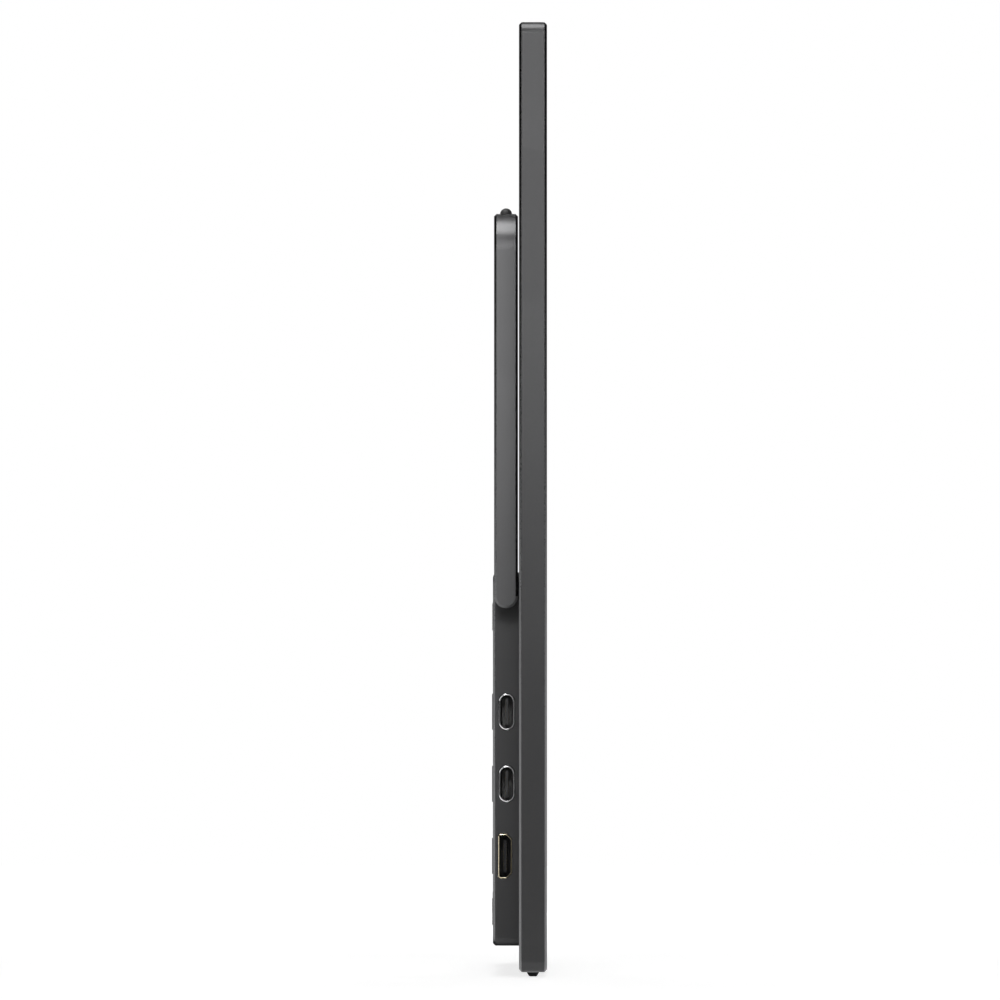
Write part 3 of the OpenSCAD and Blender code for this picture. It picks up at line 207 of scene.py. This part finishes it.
def soft_lamp(name, place, aim, size, watts, beam=180.0, sees="diffuse"):
    """A rectangular lamp, beam degrees wide, that lights either matt or glossy surfaces."""
    light = bpy.data.lights.new(name, "AREA")
    light.shape = "RECTANGLE"
    light.size, light.size_y = size
    light.energy = watts
    light.spread = math.radians(beam)
    lamp = bpy.data.objects.new(name, light)
    lamp.location = place
    lamp.rotation_euler = (Vector(aim) - Vector(place)).to_track_quat("-Z", "Y").to_euler()
    bpy.context.collection.objects.link(lamp)
    lamp.visible_glossy = sees == "glossy"
    lamp.visible_diffuse = sees == "diffuse"


soft_lamp("overhead_lamp", (-0.42, 0.0, 1.1), (-0.42, 0.0, 0.1), size=(0.86, 0.8), watts=10.5,
          sees="glossy")
soft_lamp("room_lamp", (0.0, 0.0, 1.1), (0.0, 0.0, 0.1), size=(0.7, 0.3), watts=1.3)
for side, name, watts in ((-1, "left_lamp", 0.195), (1, "right_lamp", 0.23)):
    soft_lamp(name, (side * 0.74, 0.0, 0.36), (side * slab_high[0], 0.0, 0.19),
              size=(0.3, 0.16), watts=watts, beam=36.0)
for side, name in ((-1, "low_left_lamp"), (1, "low_right_lamp")):
    soft_lamp(name, (side * 1.5, 0.0, 0.16), (0.0, 0.0, 0.1), size=(0.3, 0.2), watts=0.7)
for side, name in ((-1, "front_lamp"), (1, "back_lamp")):
    soft_lamp(name, (0.0, side * 1.4, 0.45), (0.0, 0.0, 0.12), size=(0.36, 0.8), watts=8.0)

# The cards stand round the table, as a photographer sets them up for dark metal: one in front
# and one behind, with low ones at their corners, a low and a high one at the left end, a whole
# one at the right end, and one that lies under the object.
card_black, card_shader, card_tone = new_finish("card_black", **{"Specular IOR Level": 0.0})
vary(card_black, card_shader, roughness=card_tone.blotch(9.0) * 0.1 + 0.9,
     base_color=card_tone.between(card_tone.blotch(9.0), (0.004, 0.004, 0.004),
                                  (0.008, 0.008, 0.008)))
card_half = 0.5
card_foot = 0.0006
face_card_low = 0.1
face_card_top = 0.9
corner_card_from = 0.28
left_gap_low = 0.12
left_gap_high = 0.4
left_card_top = 0.72
right_card_top = 1.6
under_card_half = 0.06
under_card_from = -0.139


def black_card(first, second, place, square_to="x"):
    """A card from the two spans it fills, its place across them and the axis it is square to."""
    (a, b), (c, d) = first, second
    corners = [(a, c), (b, c), (b, d), (a, d)]
    ways = {"x": lambda u, v: (place, u, v), "y": lambda u, v: (u, place, v),
            "z": lambda u, v: (u, v, place)}
    card = new_sheet("black_card", [ways[square_to](u, v) for u, v in corners], card_black)
    for ray in ("camera", "diffuse", "transmission", "shadow", "volume_scatter"):
        setattr(card, "visible_" + ray, False)


across = (-card_half, card_half)
for side in (-1, 1):
    black_card(across, (face_card_low, face_card_top), side * card_half, "y")
    for end in (-1, 1):
        black_card((end * corner_card_from, end * card_half), (card_foot, face_card_low),
                   side * card_half, "y")
black_card((under_card_from, card_half), (-under_card_half, under_card_half), card_foot, "z")
black_card(across, (card_foot, left_gap_low), -card_half)
black_card(across, (left_gap_high, left_card_top), -card_half)
black_card(across, (card_foot, right_card_top), card_half)


# ---- Slab shell ------------------------------------------------------------------------------
# The display's housing is a shallow tub of dark anodised aluminium: pressed, blasted to a satin
# grain, and cut to a brighter bevel round its front and back edges. All else is fixed to it.
def grained(name, colour, roughness, grain, metallic=0.0, specular=0.5, depth=0.00001,
            patch=0.08, stretch=(1.0, 1.0, 1.0)):
    """A hard finish: fine grain in colour, gloss and relief over slow patches of tone."""
    patches_per_metre = 14.0
    slow_share = 0.6
    fine_gloss = 0.1
    slow_gloss = 0.06
    material, shader, tone = new_finish(name, **{"Metallic": metallic,
                                                 "Specular IOR Level": specular})
    fine = tone.blotch(grain, 3.0, stretch)
    slow = tone.blotch(patches_per_metre)
    vary(material, shader,
         base_color=tone.between(slow * slow_share + fine * (1 - slow_share),
                                 [part * (1 - patch) for part in colour],
                                 [part * (1 + patch) for part in colour]),
         roughness=(fine * fine_gloss + slow * slow_gloss
                    + (roughness - (fine_gloss + slow_gloss) / 2)),
         normal=tone.relief(fine, depth))
    return material


def softened(node, width, picked):
    """A copy of a CAD node's mesh, merged, with the sharp edges that are picked rounded."""
    merge_within = 0.000001
    flat = math.radians(1.0)
    crease = math.radians(25.0)
    shape = bmesh.new()
    shape.from_mesh(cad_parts[node].data)
    bmesh.ops.remove_doubles(shape, verts=shape.verts, dist=merge_within)
    bmesh.ops.dissolve_limit(shape, angle_limit=flat, verts=shape.verts, edges=shape.edges)
    sharp = [edge for edge in shape.edges
             if edge.is_manifold and edge.calc_face_angle() > crease
             and picked(*[corner.co for corner in edge.verts])]
    bmesh.ops.bevel(shape, geom=sharp, offset=width, segments=3, profile=0.5,
                    affect="EDGES", clamp_overlap=True)
    bmesh.ops.recalc_face_normals(shape, faces=shape.faces)
    return shape


def made_plain(piece):
    """Gives an object what its modifiers make as its own mesh, and takes the modifiers away."""
    bpy.context.view_layer.update()
    piece.data = bpy.data.meshes.new_from_object(
        piece.evaluated_get(bpy.context.evaluated_depsgraph_get()))
    piece.modifiers.clear()


def new_piece(name, shape, body, finishes, node, smooth=35.0, finish_of=None):
    """The finished shape with smooth normals, which rides on its body in a CAD node's place."""
    mesh = bpy.data.meshes.new(name)
    if finish_of:
        for face in shape.faces:
            face.material_index = finish_of(face)
    shape.to_mesh(mesh)
    shape.free()
    for finish in finishes:
        mesh.materials.append(finish)
    piece = bpy.data.objects.new(name, mesh)
    bpy.context.collection.objects.link(piece)
    mesh.shade_smooth()
    mesh.set_sharp_from_angle(angle=math.radians(smooth))
    even = piece.modifiers.new("even_normals", "WEIGHTED_NORMAL")
    even.keep_sharp = True
    made_plain(piece)
    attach(piece, body)
    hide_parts(node)


def inside_by(x, z, half_w, low_z, high_z, radius):
    """How far a point lies inside an upright rectangle with round corners."""
    across = abs(x) - (half_w - radius)
    up = abs(z - (low_z + high_z) / 2) - ((high_z - low_z) / 2 - radius)
    if across > 0 and up > 0:
        return radius - math.hypot(across, up)
    return radius - max(across, up)


slack = 0.00004
slab_radius = 0.00275
slab_bevel = 0.00065
slab_soft = 0.0002
slab_front = slab_low[1]


def slab_inset(point):
    """How far a point lies inside the slab's outline, seen from the front."""
    return inside_by(point[0], point[2], slab_high[0], slab_low[2], slab_high[2], slab_radius)


def on_slab_rim(*ends):
    """Whether an edge is one of the four that bound the slab's two bevels."""
    outer = all(abs(slab_inset(end)) < slack
                and min(abs(end[1] - slab_front - slab_bevel),
                        abs(end[1] - slab_back + slab_bevel)) < slack for end in ends)
    inner = all(abs(slab_inset(end) - slab_bevel) < slack
                and min(abs(end[1] - slab_front), abs(end[1] - slab_back)) < slack
                for end in ends)
    return outer or inner


def slanted(face):
    """Whether a face slopes from the back or the front to the sides, as a bevel does."""
    return 0.45 < abs(face.normal[1]) < 0.9


def bright_cut(inset, bevel):
    """1 on the faces of a bevel, 0 elsewhere."""
    def finish_of(face):
        on_rim = -slack < inset(face.calc_center_median()) < bevel + slack
        return 1 if slanted(face) and on_rim else 0
    return finish_of


slab_anodised = grained("slab_anodised", (0.1, 0.1, 0.102), 0.32, metallic=0.35,
                        specular=0.2, grain=3200.0, depth=0.000006, patch=0.18)
cut_edge = grained("cut_edge", (0.21, 0.21, 0.214), 0.28, metallic=1.0, grain=5000.0,
                   depth=0.000001)
new_piece("slab_shell", softened("display_shell", slab_soft, on_slab_rim), "chassis",
          [slab_anodised, cut_edge], "display_shell",
          finish_of=bright_cut(slab_inset, slab_bevel))


# ---- Screen ----------------------------------------------------------------------------------
# A liquid crystal panel under an anti-glare film, dark while it is off. Behind the glass lie the
# films, the acrylic light guide, its reflector and the lamps, all held in a thin steel tray.
def dress(finish, *nodes):
    """Gives CAD nodes whose shape is right their finish."""
    for node in nodes:
        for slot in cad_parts[node].material_slots:
            slot.material = finish


screen, screen_shader, screen_tone = new_finish(
    "screen_coating", **{"Specular IOR Level": 0.3, "Coat Roughness": 0.3,
                         "Coat Weight": 0.15})
cell_grain = screen_tone.blotch(5200.0, 0.0)
screen_cloud = screen_tone.blotch(7.0)
vary(screen, screen_shader,
     base_color=screen_tone.between(screen_cloud * 0.5 + cell_grain * 0.5,
                                    (0.004, 0.0043, 0.0052), (0.007, 0.0074, 0.0086)),
     roughness=cell_grain * 0.1 + screen_cloud * 0.05 + 0.22,
     normal=screen_tone.relief(cell_grain, 0.000002))
dress(screen, "lcd_glass")
dress(grained("diffuser_film", (0.82, 0.83, 0.84), 0.35, specular=0.4, grain=1500.0,
              depth=0.00002, patch=0.03), "optical_films")
dress(grained("reflector_white", (0.9, 0.9, 0.89), 0.4, grain=900.0, patch=0.02),
      "reflector_sheet")
dress(grained("rolled_steel", (0.56, 0.57, 0.58), 0.34, metallic=1.0, grain=420.0,
              depth=0.000004, stretch=(0.05, 1.0, 1.0)), "screen_tray")

# The light guide carries rows of printed dots, and the lamps have caps of yellow phosphor
dots_per_metre = 900.0
dot_radius = 0.3
guide, guide_shader, guide_tone = new_finish("printed_acrylic",
                                             **{"Transmission Weight": 0.35, "IOR": 1.49})
dot_cells = guide_tone.node("ShaderNodeTexVoronoi", None,
                            {"Vector": guide_tone.coords(), "Scale": dots_per_metre,
                             "Randomness": 0.0})
printed = guide_tone.reckon("LESS_THAN", dot_cells, dot_radius)
vary(guide, guide_shader,
     base_color=guide_tone.between(printed, (0.8, 0.84, 0.86), (0.95, 0.95, 0.94)),
     roughness=printed * 0.4 + 0.12)
dress(guide, "light_guide")
cap_from = 0.6
lamps, lamps_shader, lamps_tone = new_finish("phosphor_lamps")
lamp_bands = lamps_tone.node("ShaderNodeTexWave", {"bands_direction": "X"},
                             {"Vector": lamps_tone.coords(), "Scale": 36.0})
vary(lamps, lamps_shader,
     base_color=lamps_tone.between(lamps_tone.reckon("GREATER_THAN", lamp_bands, cap_from),
                                   (0.78, 0.78, 0.74), (0.85, 0.62, 0.1)),
     roughness=lamps_tone.blotch(900.0) * 0.2 + 0.35)
dress(lamps, "led_strip")


# ---- Screen frame ----------------------------------------------------------------------------
# A thin moulded frame of black plastic with a fine spark grain. It is clipped into the shell
# just below the rim, and slopes down to the glass round the picture.
bezel_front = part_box("front_bezel")[0][1]
bezel_soft = 0.00008
bezel_black = grained("bezel_black", (0.022, 0.022, 0.0225), 0.52, specular=0.35,
                      grain=1900.0, depth=0.00002, patch=0.2)
new_piece("screen_bezel",
          softened("front_bezel", bezel_soft,
                   lambda *ends: all(end[1] < bezel_front + slack for end in ends)),
          "chassis", [bezel_black], "front_bezel")


# ---- Bottom feet -----------------------------------------------------------------------------
# Two strips of black rubber, pressed into grooves in the shell's lower edge and narrowed where
# they meet the table.
foot_soft = 0.00028
rubber = grained("black_rubber", (0.022, 0.022, 0.022), 0.7, specular=0.3, grain=1400.0,
                 depth=0.00003, patch=0.2)
new_piece("foot_strips",
          softened("bottom_feet", foot_soft,
                   lambda *ends: min(end[2] for end in ends) < slack),
          "chassis", [rubber], "bottom_feet")


# ---- Rear housing ----------------------------------------------------------------------------
# A tray of dark plastic, moulded with the slots of the speakers and the vents, sunk screw seats
# and the side openings, and screwed to the back of the slab. Its rear rim is bevelled too.
housing_radius = 0.0021
housing_bevel = 0.0006
housing_soft = 0.00022
housing_back = 0.006675


def housing_inset(point):
    """How far a point lies inside the housing's outline, seen from behind."""
    return inside_by(point[0], point[2], housing_high[0], housing_low[2], housing_high[2],
                     housing_radius)


def on_housing_rim(*ends):
    """Whether an edge bounds the bevel round the housing's rear face."""
    outer = all(abs(housing_inset(end)) < slack
                and abs(end[1] - housing_back + housing_bevel) < slack for end in ends)
    inner = all(abs(housing_inset(end) - housing_bevel) < slack
                and abs(end[1] - housing_back) < slack for end in ends)
    return outer or inner


housing_dark = grained("housing_dark", (0.1, 0.1, 0.102), 0.45, metallic=0.3, specular=0.2,
                       grain=2800.0, patch=0.2)
new_piece("housing_tray", softened("rear_cover", housing_soft, on_housing_rim), "chassis",
          [housing_dark, cut_edge], "rear_cover",
          finish_of=bright_cut(housing_inset, housing_bevel))


# ---- Sockets ---------------------------------------------------------------------------------
# Drawn steel shells with a rolled mouth, a gilded one for the six-sided socket, and black
# plastic tongues that carry the gilded contacts. The earphone socket is moulded in plastic.
# The shells' inner walls are black as painted shade, the oval sockets' floors light grey as
# painted light, and the tongues a grey lighter than their plastic, also as painted light.
socket_steel = grained("socket_steel", (0.85, 0.85, 0.86), 0.2, metallic=1.0, grain=1600.0,
                       depth=0.000003, stretch=(0.2, 1.0, 1.0))
socket_gold = grained("socket_gold", (0.95, 0.84, 0.6), 0.2, metallic=0.95, grain=1600.0,
                      depth=0.000003)
# On the plastic parts this black is their own; on the shells' steel inner walls it is painted
# shade.
black_plastic_and_painted_shade = grained("black_plastic_and_painted_shade", (0.02, 0.02, 0.021), 0.45, grain=1800.0, patch=0.2)
# A light grey for the oval sockets' floors, painted light where the deep holes lie in shade.
socket_floor_painted_light = grained("socket_floor_painted_light", (0.18, 0.18, 0.18), 0.5, grain=1800.0)
# The tongues are black plastic; their lighter grey is painted light for the shade deep in the
# sockets.
tongue_painted_light = grained("tongue_painted_light", (0.065, 0.065, 0.066), 0.5, grain=1800.0)


def lofted(rings):
    """A closed shape over rings of points, the first and the last one capped."""
    shape = bmesh.new()
    rows = [[shape.verts.new(point) for point in ring] for ring in rings]
    for row, following in zip(rows, rows[1:]):
        for i in range(len(row)):
            j = (i + 1) % len(row)
            shape.faces.new((row[i], row[j], following[j], following[i]))
    shape.faces.new(list(reversed(rows[0])))
    shape.faces.new(rows[-1])
    bmesh.ops.recalc_face_normals(shape, faces=shape.faces)
    return shape


# The lip's profile from its inner edge to the rim: how far across, then in beads how deep, and
# how much deeper still at the two ends, where the slope grows in over the ramp
lip_profile = ((0.0, 0.5, -0.4), (0.12, 0.0, -0.4), (0.22, -0.15, -0.33),
               (0.78, -0.15, 0.33), (0.88, 0.0, 0.4), (1.0, 0.5, 0.4))
end_ramp = 3.2
side_x = housing_low[0]
bead_h = 0.0002
flange_t = 0.0015
lead_in = 4 * bead_h


def shell_shape(outline, rim, lip, opening, core, deep, floor_t):
    """A shell from outline(width along Z, height along Y): opening, lead-in, rolled lip, flange
    and core. The mouth lies at the housing's side, and the core reaches in by deep."""
    def ring(size, depth, fall=0.0):
        points = outline(*size)
        centre = sum(z for y, z in points) / len(points)
        straight = (size[0] - size[1]) / 2
        ends = [min(1.0, max(0.0, end_ramp * (abs(z - centre) - straight) / size[1]))
                for y, z in points]
        return [(side_x + depth + fall * end, y, z) for (y, z), end in zip(points, ends)]
    rings = [ring(opening, deep - floor_t), ring(opening, lead_in)]
    for share, depth, fall in lip_profile:
        rings.append(ring([a * (1 - share) + b * share for a, b in zip(lip, rim)],
                          bead_h * depth, bead_h * fall))
    rings += [ring(rim, flange_t), ring(core, flange_t), ring(core, deep)]
    return lofted(rings)


def oval(width, height, middle, steps=9):
    """Points round an upright oval whose ends are half circles."""
    y, z = middle
    points = []
    for end in (0, 1):
        for i in range(steps + 1):
            turn = math.radians(180 * (end + i / steps))
            points.append((y + height / 2 * math.cos(turn),
                           z + (width - height) / 2 * (1 - 2 * end)
                           + height / 2 * math.sin(turn)))
    return points


def six_sided(width, height, rear_y, middle_z, cut, nick, ease=0.00014, steps=2):
    """Points round an upright bar with wide cut corners in front and small ones at the rear."""
    front_y = rear_y - height
    corners = [(rear_y, -width / 2 + nick), (rear_y, width / 2 - nick),
               (rear_y - nick, width / 2), (front_y + cut, width / 2),
               (front_y, width / 2 - cut), (front_y, -width / 2 + cut),
               (front_y + cut, -width / 2), (rear_y - nick, -width / 2)]
    points = []
    for before, here, after in zip(corners[-1:] + corners, corners, corners[1:] + corners[:1]):
        spot = Vector(here)
        start = spot + (Vector(before) - spot).normalized() * ease
        end = spot + (Vector(after) - spot).normalized() * ease
        for i in range(steps + 1):
            share = i / steps
            at = start * (1 - share) ** 2 + spot * 2 * share * (1 - share) + end * share ** 2
            points.append((at[0], middle_z + at[1]))
    return points


def painted_light_and_shade_inside(centre_y, centre_z, floor_from=math.inf):
    """1 on the steel walls that look into the shell behind its lip, black as painted shade;
    2 on its floor, light grey as painted light; 0 elsewhere.
    """
    def finish_of(face):
        middle = face.calc_center_median()
        inward = Vector((0.0, centre_y - middle[1], centre_z - middle[2]))
        if middle[0] < side_x + 2 * bead_h:
            return 0
        if face.normal[0] < -0.9 and middle[0] > side_x + floor_from:
            return 2
        return 1 if face.normal.dot(inward) > 0 else 0
    return finish_of


oval_rim = (0.00925, 0.0041)
oval_lip = (0.0085, 0.0031)
oval_mouth = (0.00834, 0.00256)
oval_wall = 0.00025
oval_core = [size + 2 * oval_wall for size in oval_mouth]
oval_floor_t = 0.0003
for node, name in (("usb_c_shell_upper", "upper_oval_shell"),
                   ("usb_c_shell_lower", "lower_oval_shell")):
    shell_low, shell_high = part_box(node)
    socket_y = (shell_low[1] + shell_high[1]) / 2
    socket_z = (shell_low[2] + shell_high[2]) / 2
    # Inside the oval shells the walls take black as painted shade and the floors grey as painted
    # light.
    new_piece(name,
              shell_shape(lambda width, height: oval(width, height, (socket_y, socket_z)),
                          oval_rim, oval_lip, oval_mouth, oval_core, shell_high[0] - side_x,
                          oval_floor_t),
              "chassis", [socket_steel, black_plastic_and_painted_shade, socket_floor_painted_light], node,
              smooth=50.0, finish_of=painted_light_and_shade_inside(socket_y, socket_z, floor_from=0.002))
shell_low, shell_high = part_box("mini_hdmi_shell")
six_rear_y = 0.005375
six_z = (shell_low[2] + shell_high[2]) / 2
six_w = shell_high[2] - shell_low[2]
six_h = 0.0035
six_cut = 0.0013
six_nick = 0.0004
six_wall = 0.0004
six_rim = (six_w, six_h)
six_lip = [size - 1.5 * six_wall for size in six_rim]
six_mouth = [size - 2 * six_wall for size in six_rim]


def six_ring(width, height):
    """The six-sided outline, drawn in evenly on all sides from the rim to this width."""
    inset = (six_w - width) / 2
    return six_sided(width, height, six_rear_y - inset, six_z, six_cut - inset / 2,
                     six_nick - inset / 2)


# Inside the six-sided shell the walls take black as painted shade.
new_piece("six_sided_shell",
          shell_shape(six_ring, six_rim, six_lip, six_mouth, six_rim, shell_high[0] - side_x,
                      six_wall),
          "chassis", [socket_gold, black_plastic_and_painted_shade], "mini_hdmi_shell",
          smooth=50.0, finish_of=painted_light_and_shade_inside(six_rear_y - six_h / 2, six_z))
# The oval sockets' tongues take a grey lighter than their plastic, as painted light.
dress(tongue_painted_light, "usb_c_tongues")
dress(black_plastic_and_painted_shade, "mini_hdmi_tongue", "headphone_jack")


# Gilded contacts, in a row on each face of a tongue
def contact_rows(name, starts, count, pitch, size, finish):
    """Bars in rows along Z, one row from each start point, from Geometry Nodes."""
    tree = bpy.data.node_groups.new(name + "_tree", "GeometryNodeTree")
    tree.interface.new_socket("Geometry", in_out="OUTPUT", socket_type="NodeSocketGeometry")
    tree.interface.new_socket("Geometry", in_out="INPUT", socket_type="NodeSocketGeometry")
    values = {}
    for label, kind, value in (("Count", "NodeSocketInt", count),
                               ("Pitch", "NodeSocketVector", (0.0, 0.0, pitch)),
                               ("Size", "NodeSocketVector", size)):
        made = tree.interface.new_socket(label, in_out="INPUT", socket_type=kind)
        values[made.identifier] = value
    grow = Tone(tree)
    given = tree.nodes.new("NodeGroupInput")
    line = grow.node("GeometryNodeMeshLine", {"mode": "OFFSET"},
                     {"Count": Tone(tree, given.outputs["Count"]),
                      "Offset": Tone(tree, given.outputs["Pitch"])})
    rows = grow.node("GeometryNodeInstanceOnPoints", None,
                     {"Points": Tone(tree, given.outputs["Geometry"]), "Instance": line})
    places = grow.node("GeometryNodeRealizeInstances", None, {"Geometry": rows})
    bar = grow.node("GeometryNodeMeshCube", None, {"Size": Tone(tree, given.outputs["Size"])})
    bars = grow.node("GeometryNodeInstanceOnPoints", None, {"Points": places, "Instance": bar})
    whole = grow.node("GeometryNodeRealizeInstances", None, {"Geometry": bars})
    tinted = grow.node("GeometryNodeSetMaterial", None,
                       {"Geometry": whole, "Material": finish})
    tree.links.new(tinted.socket, tree.nodes.new("NodeGroupOutput").inputs["Geometry"])
    seeds = bpy.data.meshes.new(name)
    seeds.from_pydata(starts, [], [])
    contacts = bpy.data.objects.new(name, seeds)
    bpy.context.collection.objects.link(contacts)
    growth = contacts.modifiers.new("rows", "NODES")
    growth.node_group = tree
    for identifier, value in values.items():
        growth[identifier] = value
    made_plain(contacts)
    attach(contacts, "chassis")


contact_t = 0.00006
contact_gold = grained("contact_gold", (0.9, 0.68, 0.32), 0.28, metallic=1.0, grain=2400.0,
                       depth=0.000002)
tongue_low, tongue_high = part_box("usb_c_tongues")
oval_middles = [(low[2] + high[2]) / 2
                for low, high in (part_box("usb_c_shell_lower"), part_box("usb_c_shell_upper"))]
oval_count = 12
oval_pitch = 0.0005
oval_bar_l = 0.0038
oval_bar_w = 0.00026
oval_setback = 0.0006
contact_rows("oval_contacts",
             [(tongue_low[0] + oval_setback + oval_bar_l / 2, y,
               middle_z - oval_pitch * (oval_count - 1) / 2)
              for y in (tongue_low[1], tongue_high[1]) for middle_z in oval_middles],
             oval_count, oval_pitch, (oval_bar_l, contact_t, oval_bar_w), contact_gold)
blade_low, blade_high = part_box("mini_hdmi_tongue")
blade_count = 10
blade_pitch = 0.0007
blade_bar_l = 0.0042
blade_bar_w = 0.0003
blade_setback = 0.0005
contact_rows("six_sided_contacts",
             [(blade_low[0] + blade_setback + blade_bar_l / 2, y,
               (blade_low[2] + blade_high[2]) / 2 - blade_pitch * (blade_count - 1) / 2)
              for y in (blade_low[1], blade_high[1])],
             blade_count, blade_pitch, (blade_bar_l, contact_t, blade_bar_w), contact_gold)


# ---- Controls --------------------------------------------------------------------------------
# A power key and a rocking menu key in black plastic stand a little proud of the right side, with
# a milky light pipe over them. The key board, its switches and the rocker's bracket lie behind.
key_soft = 0.0001
key_rim = 0.0002
key_black = grained("key_black", (0.03, 0.03, 0.031), 0.42, specular=0.4, grain=2200.0,
                    patch=0.15)
for node, name, body in (("power_button", "power_key_cap", "power_key"),
                         ("menu_rocker", "menu_key_cap", "rocker_key")):
    face_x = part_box(node)[1][0]
    new_piece(name,
              softened(node, key_soft,
                       lambda *ends: all(end[0] > face_x - key_rim for end in ends)),
              body, [key_black], node)
dress(grained("milky_pipe", (0.72, 0.74, 0.76), 0.3, grain=900.0, patch=0.04), "status_light")
bracket_steel = grained("bracket_steel", (0.5, 0.5, 0.5), 0.36, metallic=1.0, grain=800.0,
                        depth=0.000005, stretch=(0.1, 1.0, 1.0))
shaft_steel = grained("shaft_steel", (0.42, 0.42, 0.43), 0.3, metallic=1.0, grain=2400.0,
                      depth=0.000003, stretch=(0.1, 1.0, 1.0))
dress(bracket_steel, "rocker_bracket")
dress(shaft_steel, "rocker_pin")
dress(grained("switch_silver", (0.6, 0.6, 0.61), 0.3, metallic=1.0, grain=1500.0,
              depth=0.000003), "tact_switches")


# ---- Boards ----------------------------------------------------------------------------------
# Glass fibre boards under a dark green mask, with copper runs that show through it a little
# lighter. The flat cables are amber film with copper lines, the chips black resin.
board, board_shader, board_tone = new_finish("masked_board")
across_board = board_tone.node("ShaderNodeMapping", None,
                               {"Vector": board_tone.coords(),
                                "Rotation": (math.radians(90), 0.0, 0.0)})
runs = board_tone.node("ShaderNodeTexBrick", {"offset": 0.37},
                       {"Vector": across_board, "Scale": 160.0, "Mortar Size": 0.035,
                        "Brick Width": 1.7, "Row Height": 0.3}, out=1)
patina = board_tone.blotch(160.0)
vary(board, board_shader,
     base_color=board_tone.between(runs * 0.8 + patina * 0.2, (0.008, 0.034, 0.018),
                                   (0.03, 0.1, 0.045)),
     roughness=patina * 0.15 + 0.3, normal=board_tone.relief(runs, 0.00002))
dress(board, "main_board", "driver_board", "key_board")
film, film_shader, film_tone = new_finish("copper_lined_film")
lines = film_tone.node("ShaderNodeTexWave", {"bands_direction": "X"},
                       {"Vector": film_tone.coords(), "Scale": 260.0})
vary(film, film_shader,
     base_color=film_tone.between(lines, (0.32, 0.12, 0.03), (0.6, 0.32, 0.12)),
     roughness=lines * 0.15 + 0.25, normal=film_tone.relief(lines, 0.00001))
dress(film, "drive_films", "display_cable")
chip_black = grained("chip_black", (0.018, 0.018, 0.02), 0.55, grain=2800.0, depth=0.00002,
                     patch=0.2)
dress(chip_black, "board_chips")
dress(grained("pressed_aluminium", (0.74, 0.75, 0.76), 0.32, metallic=1.0, grain=300.0,
              depth=0.000004, stretch=(0.05, 1.0, 1.0)), "heat_spreader")


# ---- Speakers --------------------------------------------------------------------------------
# Flat speakers in black cases, each with a coated film membrane behind a foam gasket, and two
# thin leads to the main board.
dress(chip_black, "speaker_left", "speaker_right")
dress(grained("coated_film", (0.05, 0.05, 0.055), 0.35, grain=700.0, depth=0.00003,
              patch=0.15), "speaker_membranes")
dress(grained("dark_foam", (0.03, 0.03, 0.032), 0.9, specular=0.1, grain=3500.0,
              depth=0.00015, patch=0.35), "speaker_gaskets")
dress(grained("lead_skin", (0.42, 0.03, 0.025), 0.42, grain=900.0, patch=0.12),
      "speaker_leads")


# ---- Fixings ---------------------------------------------------------------------------------
# Turned brass standoffs, and brass nuts in two pressed steel straps for a wall bracket. Black
# steel screws hold the rear housing, and bright ones the boards and the brackets inside.
dress(grained("turned_brass", (0.78, 0.58, 0.3), 0.3, metallic=1.0, grain=1500.0,
              depth=0.000004, stretch=(1.0, 0.15, 1.0)), "cover_standoffs", "vesa_nuts")
dress(bracket_steel, "vesa_straps")
dress(grained("black_oxide", (0.06, 0.06, 0.062), 0.34, metallic=1.0, grain=2000.0,
              depth=0.000004), "cover_screws")
dress(shaft_steel, "board_screws", "bracket_screws")


# ---- Stand -----------------------------------------------------------------------------------
# A U-shaped bar of the same satin aluminium, with its edges bevelled all round. Its grey is
# made lighter than the slab's, partly as painted light for the shade the slab casts on it.
# It turns on steel shafts at the housing's sides, and its cross bar carries two rubber pads.
pivot_y = 0.003375
pivot_z = 0.0953
stand_bevel = 0.0006
stand_soft = 0.00024
stand_half_t = (stand_high[1] - stand_low[1]) / 2
arm_from_x = 0.1395


def on_stand_rim(*ends):
    """Whether an edge bounds a bevel of the stand's two faces, or an arm's round end."""
    on_face = all(stand_half_t - stand_bevel - slack < abs(end[1] - pivot_y) for end in ends)
    on_end = all(end[2] < pivot_z + slack and abs(end[0]) > arm_from_x for end in ends)
    return on_face or on_end


def stand_cut(face):
    """1 on the stand's bevels above its pivots, 0 elsewhere."""
    middle = face.calc_center_median()
    on_rim = middle[2] > pivot_z and abs(middle[1] - pivot_y) > stand_half_t - stand_bevel
    return 1 if slanted(face) and on_rim else 0


# A lighter grey than the slab's, partly as painted light for the shade the slab casts on the
# stand.
stand_anodised_painted_light = grained("stand_anodised_painted_light", (0.175, 0.175, 0.178), 0.3, metallic=0.35,
                         specular=0.2, grain=3200.0, depth=0.000006, patch=0.18)
new_piece("stand_bar", softened("stand_frame", stand_soft, on_stand_rim), "stand",
          [stand_anodised_painted_light, cut_edge], "stand_frame", finish_of=stand_cut)
dress(grained("pad_rubber", (0.045, 0.045, 0.045), 0.5, grain=1400.0, depth=0.00002,
              patch=0.15), "stand_pads")
dress(bracket_steel, "hinge_bracket_left", "hinge_bracket_right", "hinge_washers")
dress(shaft_steel, "hinge_shaft_left", "hinge_shaft_right", "hinge_nuts")
